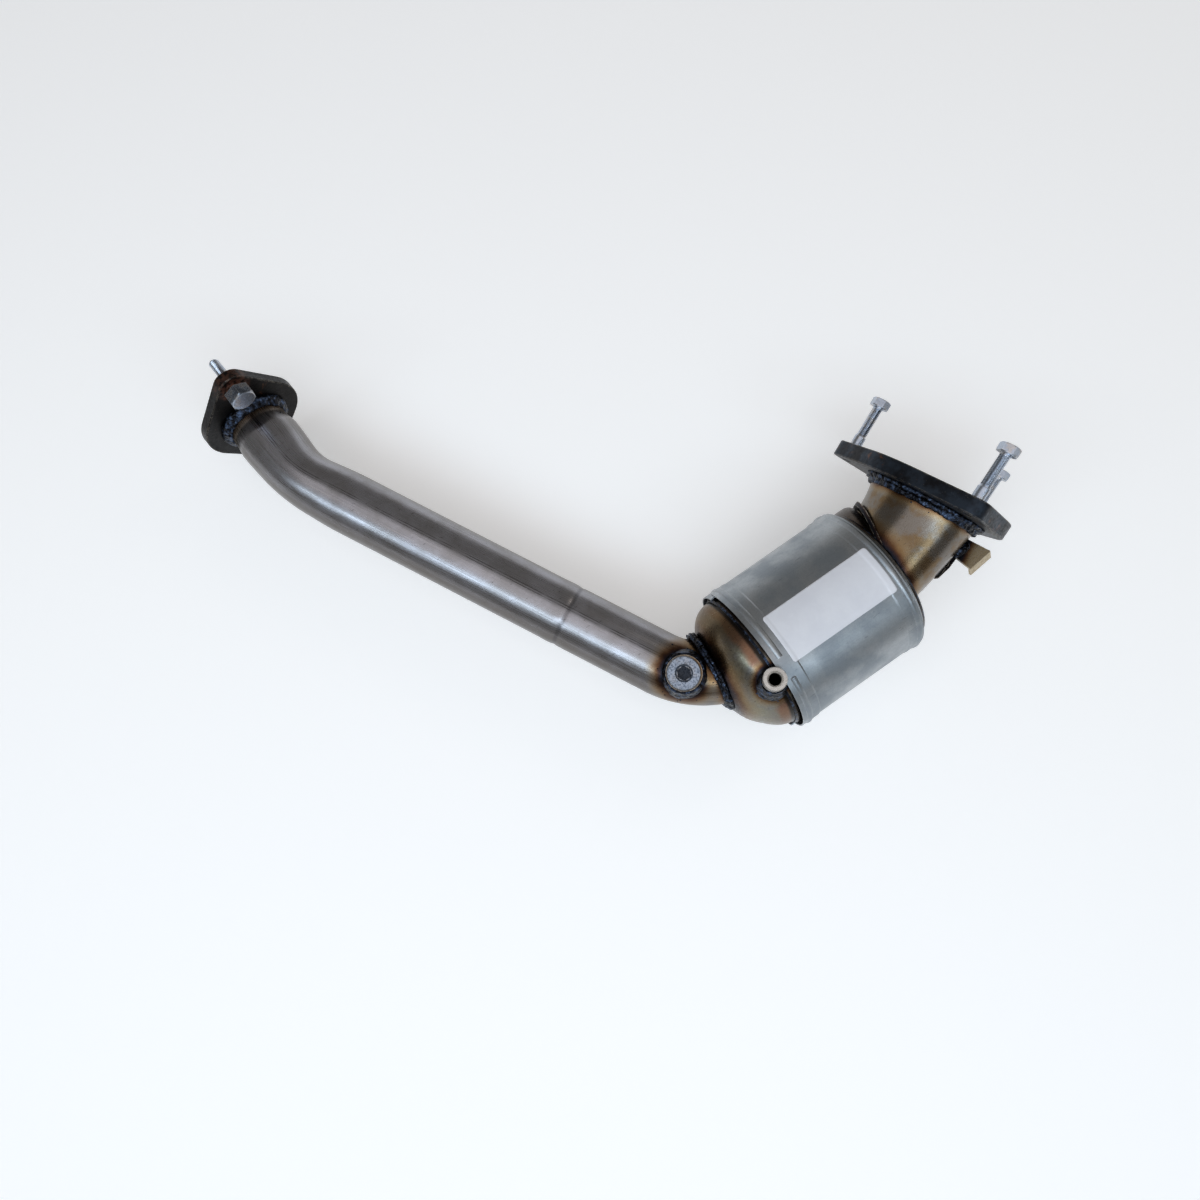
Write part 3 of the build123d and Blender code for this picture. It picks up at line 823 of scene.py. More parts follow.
@dataclass(frozen=True)
class DomeSteel(Finish):
    """Drawn steel browned by the welds: bronze, an olive middle, a copper band by the shield and painted
    shade in the gap at the shield's edge.
    """

    name: str = "dome_skin"
    base: Colour = rgb(126, 122, 106)
    bronze: Colour = rgb(98, 80, 56)
    copper: Colour = rgb(128, 90, 70)
    painted_gap_shade: bool = True
    cloudy: Colour = rgb(118, 116, 112)
    nick: Colour = rgb(48, 42, 36)
    speck: Colour = rgb(196, 190, 176)
    soot_and_gap_shade: Colour = rgb(26, 24, 24)
    copper_at: float = 64.0
    wander: float = 9.0

    def paint(self, coat: Coat) -> None:
        """Paints the drawn sheet.

        Args:
            coat: The new coat.
        """
        g = coat.graph
        marks = coat.marks(0.9)
        grain = coat.grain(0.3, 0.6)
        x, y, _ = g.split(coat.spot)
        coat.lay(g.span(marks["Cloud"], 0.35, 0.62), self.cloudy)
        along = g.plus(x, g.times(g.minus(g.noise(coat.spot, 0.06, 3.0), 0.5), self.wander))
        band = g.span(g.math("ABSOLUTE", g.plus(along, self.copper_at)), 1.5, 6.0, 1.0, 0.0)
        coat.lay(band, self.copper, 0.8)
        coat.lay(g.span(y, 2.0, 52.0), self.bronze, 0.85)
        coat.lay(g.span(y, -58.0, -28.0, 1.0, 0.0), self.bronze, 0.8)
        coat.heat(g.minus(2.5, coat.ahead(MOUTH)), 18.0, 6.0)
        coat.heat(g.minus(coat.away(PORT), 10.0), 9.0, 4.0)
        coat.lay(marks["Nicks"], self.nick, 0.5)
        coat.lay(marks["Specks"], self.speck, 0.5)
        # Painted shade: the dome is blackened next to the shield's edge, where the gap between them lies in
        # shade.
        if self.painted_gap_shade:
            coat.lay(g.span(x, -63.0, -60.5), self.soot_and_gap_shade, 0.92)
        coat.close(g.span(grain["Value"], 0.3, 0.7, 0.24, 0.38), grain["Value"], 0.12, 0.0001)


@dataclass(frozen=True)
class NeckSteel(Finish):
    """Turned steel with gold and bronze tint, dark by its two welds, and slanting brush marks."""

    name: str = "neck_skin"
    base: Colour = rgb(118, 112, 105)
    gold: Colour = rgb(114, 95, 71)
    brushed: Colour = rgb(96, 80, 62)
    nick: Colour = rgb(40, 34, 30)

    def paint(self, coat: Coat) -> None:
        """Paints the neck.

        Args:
            coat: The new coat.
        """
        g = coat.graph
        marks = coat.marks(1.1)
        grain = coat.grain(0.06, 1.5, g.mapped(coat.spot, "TEXTURE", Rotation=(0.0, 0.2, 0.55)))
        coat.lay(g.span(marks["Cloud"], 0.4, 0.6), self.gold)
        coat.lay(g.span(grain["Value"], 0.5, 0.72), self.brushed, 0.25)
        coat.heat(g.minus(coat.ahead(CAN_END), 5.0), 18.0, 5.0)
        coat.heat(g.minus(-16.0, coat.ahead(INLET)), 10.0, 4.0)
        coat.lay(marks["Nicks"], self.nick, 0.7)
        coat.close(g.span(grain["Value"], 0.3, 0.7, 0.2, 0.3), grain["Value"], 0.12, 0.0001)


@dataclass(frozen=True)
class FlangeBlack(Finish):
    """Black mill scale with a dull blue sheen, scraped pale edges and a little rust."""

    metallic: ClassVar[float] = 0.85

    name: str = "flange_skin"
    base: Colour = rgb(24, 24, 27)
    sheen: Colour = rgb(48, 56, 66)
    rust: Colour = rgb(120, 78, 54)
    ear_rust: Colour = rgb(132, 92, 76)
    edge: Colour = rgb(150, 142, 130)
    speck: Colour = rgb(140, 136, 130)

    def paint(self, coat: Coat) -> None:
        """Paints the flange, with more rust round the screw in its upper ear.

        Args:
            coat: The new coat.
        """
        g = coat.graph
        marks = coat.marks(1.3)
        grain = coat.grain(0.5, 0.5)
        coat.lay(g.span(marks["Cloud"], 0.35, 0.65), self.sheen)
        coat.lay(g.span(g.noise(coat.spot, 0.07, 5.0, 0.7), 0.6, 0.7), self.rust, 0.55)
        at_ear = g.span(coat.away(EAR), 8.0, 15.0, 1.0, 0.0)
        patchy = g.span(g.noise(coat.spot, 0.25, 4.0, 0.7), 0.4, 0.6)
        coat.lay(g.times(at_ear, patchy), self.ear_rust, 0.85)
        coat.wear(0.9, self.edge)
        coat.lay(marks["Specks"], self.speck, 0.5)
        coat.close(g.span(grain["Value"], 0.3, 0.7, 0.34, 0.55), grain["Value"], 0.5, 0.00025)


@dataclass(frozen=True)
class WeldSkin(Finish):
    """Weld bead: glossy black slag with blue and a few straw patches."""

    name: str = "weld_skin"
    base: Colour = rgb(34, 35, 40)
    blue: Colour = rgb(78, 92, 116)
    straw: Colour = rgb(116, 92, 62)
    soot_and_gap_shade: Colour = rgb(20, 19, 20)

    def paint(self, coat: Coat) -> None:
        """Paints the bead.

        Args:
            coat: The new coat.
        """
        g = coat.graph
        cloud = g.noise(coat.spot, 0.22, 4.0, 0.65)
        coat.lay(g.span(cloud, 0.48, 0.62), self.blue)
        coat.lay(g.span(cloud, 0.66, 0.74), self.straw, 0.6)
        coat.lay(g.span(g.noise(coat.spot, 0.6, 3.0), 0.45, 0.6), self.soot_and_gap_shade, 0.6)
        coat.close(g.span(cloud, 0.35, 0.65, 0.24, 0.46), g.noise(coat.spot, 1.4, 3.0), 0.4, 0.0003)


@dataclass(frozen=True)
class ZincPlate(Finish):
    """Bright plating with a blue cast, speckled, with painted shade behind a place and in a pit."""

    name: str = "zinc_skin"
    base: Colour = rgb(186, 194, 206)
    dull: Colour = rgb(126, 140, 160)
    speckle: float = 0.5
    warm: Colour = rgb(206, 190, 170)
    warm_share: float = 0.4
    shade: Colour = rgb(58, 64, 74)
    shade_behind: Place | None = None
    pit: Place | None = None
    pit_radius: float = 6.9
    pit_floor: float = 32.0
    pit_shade: Colour = rgb(24, 27, 34)
    edge: Colour = rgb(236, 234, 230)
    fine_scale: float = 1.7

    def paint(self, coat: Coat) -> None:
        """Paints the plating.

        Args:
            coat: The new coat.
        """
        g = coat.graph
        fine = g.noise(coat.spot, self.fine_scale, 4.0, 0.75)
        cloud = g.noise(coat.spot, 0.16, 3.0, 0.6)
        coat.lay(g.span(fine, 0.45, 0.6), self.dull, self.speckle)
        coat.lay(g.span(cloud, 0.5, 0.62), self.warm, self.warm_share)
        # Painted shade from just in front of the place's plane back to about 13 mm behind it.
        if self.shade_behind is not None:
            depth = coat.ahead(self.shade_behind)
            behind = g.times(g.span(depth, -3.0, 1.0, 1.0, 0.0), g.span(depth, -13.0, -12.5))
            coat.lay(g.times(behind, g.span(cloud, 0.3, 0.6, 0.9, 0.5)), self.shade)
        # Painted shade deep in the pit.
        if self.pit is not None:
            inside = g.span(coat.away(self.pit), self.pit_radius - 0.9, self.pit_radius, 1.0, 0.0)
            deep = g.span(coat.ahead(self.pit), self.pit_floor, self.pit_floor + 3.5, 0.92, 0.1)
            coat.lay(g.times(inside, deep), self.pit_shade)
        coat.wear(0.5, self.edge)
        coat.close(g.span(fine, 0.35, 0.65, 0.2, 0.4), fine, 0.3, 0.0001)


@dataclass(frozen=True)
class PlainSteel(Finish):
    """Bare turned or sheet steel with a tint from heat on one side of a plane."""

    tint: Colour
    tint_place: Place
    tint_reach: float = 14.0
    roughness: float = 0.3
    worn: float = 0.7
    edge: Colour = rgb(222, 214, 200)

    def paint(self, coat: Coat) -> None:
        """Paints the steel.

        Args:
            coat: The new coat.
        """
        g = coat.graph
        grain = coat.grain(0.4, 1.2)["Value"]
        coat.lay(g.span(grain, 0.4, 0.7), self.tint)
        coat.heat(coat.ahead(self.tint_place), self.tint_reach, 4.0)
        coat.wear(self.worn, self.edge)
        coat.close(g.span(grain, 0.3, 0.7, self.roughness - 0.06, self.roughness + 0.1), grain, 0.15, 0.0001)


@dataclass(frozen=True)
class Matt(Finish):
    """A dull mineral or paper surface with fibres or grains."""

    metallic: ClassVar[float] = 0.0

    patch: Colour
    scale: float = 1.0
    roughness: float = 0.8
    deep: float = 0.0002

    def paint(self, coat: Coat) -> None:
        """Paints the surface.

        Args:
            coat: The new coat.
        """
        g = coat.graph
        cloud = g.noise(coat.spot, 0.12 * self.scale, 3.0, 0.6)
        fine = g.noise(coat.spot, 1.8 * self.scale, 3.0, 0.6)
        coat.lay(g.span(cloud, 0.35, 0.68), self.patch)
        rough = g.span(fine, 0.3, 0.7, self.roughness - 0.08, self.roughness + 0.08)
        coat.close(rough, g.plus(fine, cloud), 0.4, self.deep)


# Pieces.

Ring = tuple[Vector, Vector, float, float, float]


@dataclass
class OutletPipe:
    """The bent tube: two bends, flattened a little in the first, necked at the flange, lightly swaged."""

    radius: float = 24.75
    wall: float = 1.8
    flange_bend: float = 90.0
    elbow_bend: float = 74.0
    tail: float = 12.2
    flat: float = 1.9
    spread: float = 1.2
    flat_run: float = 28.0
    nose_radius: float = 23.0
    nose: float = 12.0
    taper: float = 10.0
    taper_steps: int = 7
    through: float = 6.0
    groove: float = 0.5
    groove_half: float = 1.8
    seam_turn: float = -12.0
    around: int = 112
    step: float = 1.4

    def route(self) -> list[tuple[Vector, Vector]]:
        """The middle of the tube, from the flange to the dome.

        Returns:
            Its points and directions.
        """
        start = OUTLET_FACE - OUTLET.out * (self.nose + self.taper)
        end = PIPE_END + (PIPE_END - ELBOW_CORNER).normalized() * self.tail
        corners = [start, OUTLET_CORNER, ELBOW_CORNER, end]
        made: list[tuple[Vector, Vector]] = []
        last = start
        for i, radius in ((1, self.flange_bend), (2, self.elbow_bend)):
            before = (corners[i] - corners[i - 1]).normalized()
            after = (corners[i + 1] - corners[i]).normalized()
            turn = before.angle(after)
            cut = radius * math.tan(turn / 2)
            entry = corners[i] - before * cut
            made += self._straight(last, entry)
            axis = before.cross(after).normalized()
            middle = entry + axis.cross(before) * radius
            count = math.ceil(radius * turn / self.step)
            for k in range(count):
                swing = Matrix.Rotation(turn * k / count, 3, axis)
                made.append((middle + swing @ (entry - middle), swing @ before))
            last = corners[i] + after * cut
        made += self._straight(last, end)
        made.append((end, (end - last).normalized()))
        return made

    def _straight(self, start: Vector, end: Vector) -> list[tuple[Vector, Vector]]:
        """Evenly spaced points and their direction, from start up to, not with, end.

        Args:
            start: The first point.
            end: Where they stop.

        Returns:
            The points, each with the direction.
        """
        way = end - start
        count = max(1, math.ceil(way.length / self.step))
        return [(start + way * (k / count), way.normalized()) for k in range(count)]

    def seam_angle(self) -> float:
        """The angle round the section at which the welded seam shows on the upper side.

        Returns:
            The angle, in radians.
        """
        up = (UP - RUN * RUN.z).normalized()
        a = math.radians(self.seam_turn)
        way = up * math.cos(a) + RUN.cross(up) * math.sin(a)
        across, beside = self._section_axes(RUN)
        return math.atan2(way.dot(beside), way.dot(across))

    def _section_axes(self, tangent: Vector) -> tuple[Vector, Vector]:
        """The two directions of a section square to the tube.

        Args:
            tangent: The tube's direction there.

        Returns:
            The wide and the flattened direction.
        """
        flat = OUTLET.out.cross(RUN).normalized()
        across = (flat - tangent * flat.dot(tangent)).normalized()
        return across, tangent.cross(across)

    def _nose_rings(self) -> list[Ring]:
        """The necked end in the flange and the taper behind it.

        Returns:
            The rings: middle, direction, two radii and the way along the tube.
        """
        rings = []
        for reach in (self.through, self.through - 0.4, 2.0, -4.0, -8.0, -10.5, -11.6, -self.nose):
            rings.append((OUTLET.at(0, 0, reach), -OUTLET.out, self.nose_radius, self.nose_radius, -reach))
        for k in range(1, self.taper_steps):
            share = k / self.taper_steps
            radius = self.nose_radius + (self.radius - self.nose_radius) * share
            along = self.nose + self.taper * share
            rings.append((OUTLET.at(0, 0, -along), -OUTLET.out, radius, radius, along))
        return rings

    def _route_rings(self) -> list[Ring]:
        """The tube behind the taper, with its flattened bend and its ring mark.

        Returns:
            The rings: middle, direction, two radii and the way along the tube.
        """
        rings = []
        route = self.route()
        turn = (-OUTLET.out).angle(RUN)
        lead = (OUTLET_CORNER - route[0][0]).length - self.flange_bend * math.tan(turn / 2)
        flat_end = lead + self.flange_bend * turn + self.flat_run
        along = 0.0
        for i, (point, tangent) in enumerate(route):
            if i:
                along += (point - route[i - 1][0]).length
            k = math.sin(math.pi * along / flat_end) ** 2 if along < flat_end else 0.0
            off = (point - OUTLET_CORNER).dot(RUN) - RING_AT
            swell = 0.0
            if abs(off) < 40:
                swell = 0.25 * math.exp(-(((off + 7) / 5) ** 2))
                swell -= self.groove * math.exp(-((off / self.groove_half) ** 2))
            wide = self.radius + self.spread * k + swell
            tall = self.radius - self.flat * k + swell
            rings.append((point, tangent, wide, tall, self.nose + self.taper + along))
        return rings

    def _skin(self, rings: list[Ring], inset: float) -> tuple[list[Vector], list[float]]:
        """The points of all rings and the three numbers that each carries.

        Args:
            rings: The rings.
            inset: How far inside them the points lie.

        Returns:
            The points, and for each the way along and the two parts of its turn round the tube.
        """
        points, values = [], []
        for centre, tangent, wide, tall, along in rings:
            across, beside = self._section_axes(tangent)
            for j in range(self.around):
                a = 2 * math.pi * j / self.around
                x, y = math.cos(a), math.sin(a)
                points.append(centre + across * (x * (wide - inset)) + beside * (y * (tall - inset)))
                values += [along, x, y]
        return points, values

    def build(self, material: bpy.types.Material) -> bpy.types.Object:
        """Builds the tube with its inside, as one closed skin.

        Args:
            material: Its material.

        Returns:
            The piece.
        """
        rings = self._nose_rings() + self._route_rings()
        points, values = self._skin(rings, 0.0)
        inner, inner_values = self._skin(rings, self.wall)
        shift = len(points)
        last = shift - self.around
        faces = tube_faces(len(rings), self.around)
        faces += [tuple(reversed(f)) for f in tube_faces(len(rings), self.around, shift)]
        for j in range(self.around):
            k = (j + 1) % self.around
            faces.append((k, j, shift + j, shift + k))
            faces.append((last + j, last + k, shift + last + k, shift + last + j))
        piece = make_piece("drawn_pipe", points + inner, faces)
        drawn = piece.data.attributes.new("drawn", "FLOAT_VECTOR", "POINT")
        drawn.data.foreach_set("vector", values + inner_values)
        finish_piece(piece, material, Slot.PIPE, "outlet_pipe")
        return piece


@dataclass
class WeldBead:
    """A weld laid by hand: its CAD fillet made lumpy and rippled."""

    node: str
    place: Place
    ripple: float = 0.32
    pitch: float = 2.6
    lumps: float = 0.75
    lump_size: float = 5.0
    voxel: float = 0.00062
    lean: float = 0.35
    wander: float = 2.2
    wander_size: float = 7.0

    def build(self, material: bpy.types.Material) -> bpy.types.Object:
        """Builds the bead in place of its CAD node.

        Args:
            material: Its material.

        Returns:
            The piece.
        """
        piece = remeshed_copy(self.node, self.node + "_bead", self.voxel)
        back = LAY.inverted()
        mesh = piece.data
        moved = [v.co + v.normal * (self._rise(back @ v.co) * 0.001) for v in mesh.vertices]
        for vertex, place in zip(mesh.vertices, moved):
            vertex.co = place
        shade_smooth(mesh)
        mesh.update()
        finish_piece(piece, material, Slot.WELD, self.node)
        return piece

    def _rise(self, point: Vector) -> float:
        """How far the bead stands out at a point.

        Args:
            point: The point, in the can's frame.

        Returns:
            The rise, in millimetres.
        """
        seed = Vector((len(self.node), 3.7, 1.1))
        away = point - self.place.origin
        x, y = away.dot(self.place.across), away.dot(self.place.beside)
        round_it = math.atan2(y, x) * max(math.hypot(x, y), 1.0)
        slant = away.dot(self.place.out) * self.lean
        drift = noise.noise(point / self.wander_size + seed) * self.wander
        phase = ((round_it + slant) / self.pitch + drift) % 1.0
        scale = 1 - abs(2 * phase - 1) ** 1.6
        lump = noise.noise(point / self.lump_size + seed)
        lump += 0.45 * noise.noise(point / (self.lump_size * 0.4) + seed)
        return self.ripple * (scale - 0.4) + self.lumps * lump


@dataclass(frozen=True)
class Zone:
    """Where spatter fell: round a place, between two radii and two heights, from above or from outside."""

    place: Place
    near: float
    far: float
    low: float
    high: float
    count: int
    from_above: bool = False


@dataclass
class Spatter:
    """Small frozen beads of weld metal that sit on the skin near the welds."""

    hosts: tuple[str, ...] = ("outlet_dome", "outlet_pipe", "outlet_flange", "inlet_neck", "inlet_flange")
    seed: int = 11
    small: float = 0.28
    large: float = 0.85
    squash: float = 0.75
    zones: tuple[Zone, ...] = (
        Zone(MOUTH, 27.0, 34.0, -1.0, 9.0, 34),
        Zone(OUTLET, 24.0, 33.0, -16.0, -6.0, 26),
        Zone(SENSOR, 14.0, 24.0, 20.0, 34.0, 22, True),
        Zone(INLET, 40.0, 48.0, -24.0, -13.0, 26),
        Zone(PORT, 9.0, 15.0, 4.0, 14.0, 12, True),
    )

    def build(self, material: bpy.types.Material) -> bpy.types.Object:
        """Drops beads on the host nodes near each weld.

        Args:
            material: Their material.

        Returns:
            The piece, with all the beads.
        """
        work = bmesh.new()
        for point, normal, size in self._drops():
            facing = normal.to_track_quat("Z", "Y").to_matrix().to_4x4()
            matrix = Matrix.Translation(point) @ facing @ Matrix.Diagonal((1, 1, self.squash, 1))
            bmesh.ops.create_icosphere(work, subdivisions=2, radius=size * 0.001, matrix=matrix)
        mesh = bpy.data.meshes.new("weld_spatter")
        work.to_mesh(mesh)
        work.free()
        shade_smooth(mesh)
        piece = add_object("weld_spatter", mesh)
        finish_piece(piece, material, Slot.WELD)
        return piece

    def _drops(self) -> list[tuple[Vector, Vector, float]]:
        """Where the beads lie.

        Returns:
            For each its point, the skin's normal there and its size in millimetres.
        """
        chance = random.Random(self.seed)
        trees = []
        for name in self.hosts:
            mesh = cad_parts[name].data
            points = [v.co.copy() for v in mesh.vertices]
            trees.append(BVHTree.FromPolygons(points, [tuple(p.vertices) for p in mesh.polygons]))
        drops = []
        for zone in self.zones:
            for _ in range(zone.count):
                a = chance.uniform(0, 2 * math.pi)
                r = chance.uniform(zone.near, zone.far)
                h = chance.uniform(zone.low, zone.high)
                if zone.from_above:
                    start = zone.place.at(math.cos(a) * r, math.sin(a) * r, h + 40)
                    way = -zone.place.out
                else:
                    start = zone.place.at(math.cos(a) * r * 1.6, math.sin(a) * r * 1.6, h)
                    way = (zone.place.at(0, 0, h) - start).normalized()
                hit = self._first_hit(trees, to_row(start), direction_to_row(way))
                if hit:
                    drops.append((hit[0], hit[1], chance.triangular(self.small, self.large, self.small)))
        return drops

    @staticmethod
    def _first_hit(trees: list[BVHTree], start: Vector, way: Vector) -> tuple[Vector, Vector] | None:
        """The nearest point that a ray meets on any tree.

        Args:
            trees: The trees.
            start: Where the ray starts.
            way: Its direction.

        Returns:
            The point and the normal there, facing the ray, or nothing.
        """
        best = None
        for tree in trees:
            point, normal, _, distance = tree.ray_cast(start, way)
            if point is not None and (best is None or distance < best[0]):
                best = (distance, point, normal if normal.dot(way) < 0 else -normal)
        return (best[1], best[2]) if best else None


@dataclass
class Screw:
    """A screw with a rolled thread, a hexagon head and, on some, a sleeve or a washer face."""

    name: str
    node: str
    place: Place
    low: float
    high: float
    head_at: float
    head_up: bool
    across_flats: float
    head_height: float
    thread_from: float
    thread_to: float
    washer: float = 0.0
    sleeve: float = 0.0
    sleeve_d: float = 9.0
    diameter: float = 8.0
    pitch: float = 1.25
    thread_deep: float = 0.62
    tip: float = 0.9
    around: int = 36
    sharp: float = 32.0

    def build(self, material: bpy.types.Material) -> bpy.types.Object:
        """Builds the screw as one skin of rings from its lower to its upper end.

        Args:
            material: Its material.

        Returns:
            The piece.
        """
        rings = self._shank()
        head = self._head()
        if self.head_up:
            rings = rings + head
        else:
            rings = [(2 * self.head_at - z, r, flats) for z, r, flats in reversed(head)] + rings
        points = []
        for z, widest, flats in rings:
            for j in range(self.around):
                a = 2 * math.pi * j / self.around
                r = self._radius(z, a, widest, flats)
                points.append(self.place.at(r * math.cos(a), r * math.sin(a), z))
        faces = tube_faces(len(rings), self.around)
        faces.append(tuple(reversed(range(self.around))))
        faces.append(tuple(range(len(points) - self.around, len(points))))
        piece = make_piece(self.name, points, faces)
        piece.data.set_sharp_from_angle(angle=math.radians(self.sharp))
        finish_piece(piece, material, Slot.ZINC, self.node)
        return piece

    def _shank(self) -> list[Triple]:
        """The rings of the shank, with its pointed end or its sleeve.

        Returns:
            For each its height, its radius and no flats.
        """
        r = self.diameter / 2
        fine = self.pitch / 5
        heights = []
        z = self.low
        while z < self.high - 1e-6:
            heights.append(z)
            z += fine if self.thread_from - fine <= z <= self.thread_to + fine else 1.0
        heights.append(self.high)
        if not self.sleeve:
            free = [min(z - self.low if self.head_up else self.high - z, 1.0) for z in heights]
            return [(z, r - self.tip * (1 - f), 0.0) for z, f in zip(heights, free)]
        s, top = self.sleeve_d / 2, self.sleeve
        collar = [(-0.01, r, 0.0), (0.0, s, 0.0), (top * 0.5, s, 0.0), (top - 0.4, s, 0.0)]
        collar += [(top, s - 0.4, 0.0), (top + 0.01, r, 0.0)]
        below = [(z, r, 0.0) for z in heights if z < -1e-6]
        return below + collar + [(z, r, 0.0) for z in heights if z > top]

    def _head(self) -> list[Triple]:
        """The rings of the head above head_at.

        Returns:
            For each its height, its radius and, where it has flats, how far they lie from the middle.
        """
        corner_r = self.across_flats / math.sqrt(3)
        top_r = self.across_flats * 0.475
        drop = (corner_r - top_r) / math.sqrt(3)
        z = self.head_at
        flats = self.across_flats / 2
        rings = []
        if self.washer:
            w = self.across_flats * 0.56
            rings += [(z, w - 0.15, 0.0), (z + 0.15, w, 0.0), (z + self.washer, w, 0.0)]
            z += self.washer
        rings += [(z + 0.01, corner_r - 0.05, flats), (z + 0.25, corner_r, flats)]
        top = z + self.head_height
        for k in range(7):
            rings.append((top - drop + drop * k / 6, corner_r - (corner_r - top_r) * k / 6, flats))
        return rings + [(top, top_r - 0.3, 0.0), (top - 0.12, top_r * 0.5, 0.0)]

    def _radius(self, z: float, a: float, widest: float, flats: float) -> float:
        """The radius at a point, with the thread and the flats.

        Args:
            z: The point's height.
            a: Its angle.
            widest: The ring's radius.
            flats: How far the flats lie from the middle, or 0.

        Returns:
            The radius.
        """
        if flats:
            return min(widest, flats / math.cos(a % (math.pi / 3) - math.pi / 6))
        if self.thread_from <= z <= self.thread_to and abs(widest - self.diameter / 2) < 0.95:
            phase = (z / self.pitch - a / (2 * math.pi)) % 1.0
            return widest - self.thread_deep * (1 - abs(2 * phase - 1))
        return widest


@dataclass
class Sticker:
    """A white sticker on the shield, with round corners and faint wrinkles."""

    start: float = -43.7
    end: float = 46.0
    low: float = -28.6
    high: float = 7.5
    radius: float = 61.1
    band: float = 41.5
    rise: float = 0.6
    round_corner: float = 2.4
    lift: float = 0.1
    thick: float = 0.09
    columns: int = 120
    rows: int = 56

    def build(self, material: bpy.types.Material) -> bpy.types.Object:
        """Builds the sheet over the shield's step.

        Args:
            material: Its material.

        Returns:
            The piece.
        """
        half_w = math.radians(self.high - self.low) / 2 * self.radius
        half_l = (self.end - self.start) / 2
        middle_x = (self.end + self.start) / 2
        middle_a = math.radians((self.high + self.low) / 2)
        points = []
        for layer in (self.lift + self.thick, self.lift):
            for i in range(self.columns + 1):
                for j in range(self.rows + 1):
                    u, v = 2 * i / self.columns - 1, 2 * j / self.rows - 1
                    x, w = self._rounded(u * half_l, v * half_w, half_l, half_w)
                    points.append(self._on_shield(middle_x + x, middle_a + w / self.radius, layer))
        piece = make_piece("sticker", points, self._faces())
        finish_piece(piece, material, Slot.SHIELD)
        return piece

    def _faces(self) -> list[Face]:
        """The faces of both sides and of the rim between them.

        Returns:
            The faces.
        """
        faces: list[Face] = []
        wide = self.rows + 1
        size = (self.columns + 1) * wide
        for i in range(self.columns):
            for j in range(self.rows):
                a = i * wide + j
                b = a + wide
                faces.append((a, a + 1, b + 1, b))
                faces.append((size + a, size + b, size + b + 1, size + a + 1))
        rim = [i * wide for i in range(self.columns + 1)]
        rim += [self.columns * wide + j for j in range(1, wide)]
        rim += [i * wide + self.rows for i in range(self.columns - 1, -1, -1)]
        rim += list(range(self.rows - 1, 0, -1))
        for k, a in enumerate(rim):
            b = rim[(k + 1) % len(rim)]
            faces.append((a, b, size + b, size + a))
        return faces

    def _rounded(self, x: float, w: float, half_l: float, half_w: float) -> tuple[float, float]:
        """Pulls the grid's corners in to a round corner.

        Args:
            x: The point's place along the sheet.
            w: Its place across it.
            half_l: Half of the sheet's length.
            half_w: Half of its width.

        Returns:
            The point's new place.
        """
        r = self.round_corner
        dx, dw = abs(x) - (half_l - r), abs(w) - (half_w - r)
        if dx > 0 and dw > 0:
            pull = max(dx, dw) / math.hypot(dx, dw)
            x = math.copysign(half_l - r + dx * pull, x)
            w = math.copysign(half_w - r + dw * pull, w)
        return x, w

    def _on_shield(self, x: float, turn: float, lift: float) -> Vector:
        """A point on the sheet.

        Args:
            x: How far along the can it lies.
            turn: Its turn from +Z towards -Y.
            lift: How far above the shield it lies.

        Returns:
            The point, in the can's frame.
        """
        step = min(max((abs(x) - self.band + 1.8) / 2.4, 0.0), 1.0)
        step = step * step * (3 - 2 * step)
        crease = noise.noise(Vector((x / 17, turn * 9, 2.0)))
        fine = noise.noise(Vector((x / 4.5 + turn * 7, turn * 14 - x / 11, 5.0)))
        r = self.radius + self.rise * step + lift + 0.05 * (crease + 1) + 0.08 * abs(fine)
        return Vector((x, -math.sin(turn) * r, math.cos(turn) * r))


class Skin:
    """Points and faces gathered one face at a time; faces share their points."""

    def __init__(self, reach: float) -> None:
        """Starts an empty skin.

        Args:
            reach: How far from the can's axis its points may lie.
        """
        self.reach = reach
        self.points: list[Vector] = []
        self.faces: list[Face] = []
        self.seen: dict[Triple, int] = {}

    def _point(self, x: float, y: float, z: float) -> int:
        """Adds a point once.

        Args:
            x: Its place along the can.
            y: Its place beside the axis.
            z: Its place above the axis.

        Returns:
            Its number.
        """
        r = math.hypot(y, z)
        if r > self.reach:
            y, z = y * self.reach / r, z * self.reach / r
        key = (round(x, 3), round(y, 3), round(z, 3))
        if key not in self.seen:
            self.seen[key] = len(self.points)
            self.points.append(Vector(key))
        return self.seen[key]

    def face(self, corners: list[Triple]) -> None:
        """Adds a face unless it has shrunk to nothing.

        Args:
            corners: Its corners, in order.
        """
        ring = list(dict.fromkeys(self._point(*corner) for corner in corners))
        if len(ring) > 2:
            self.faces.append(tuple(ring))


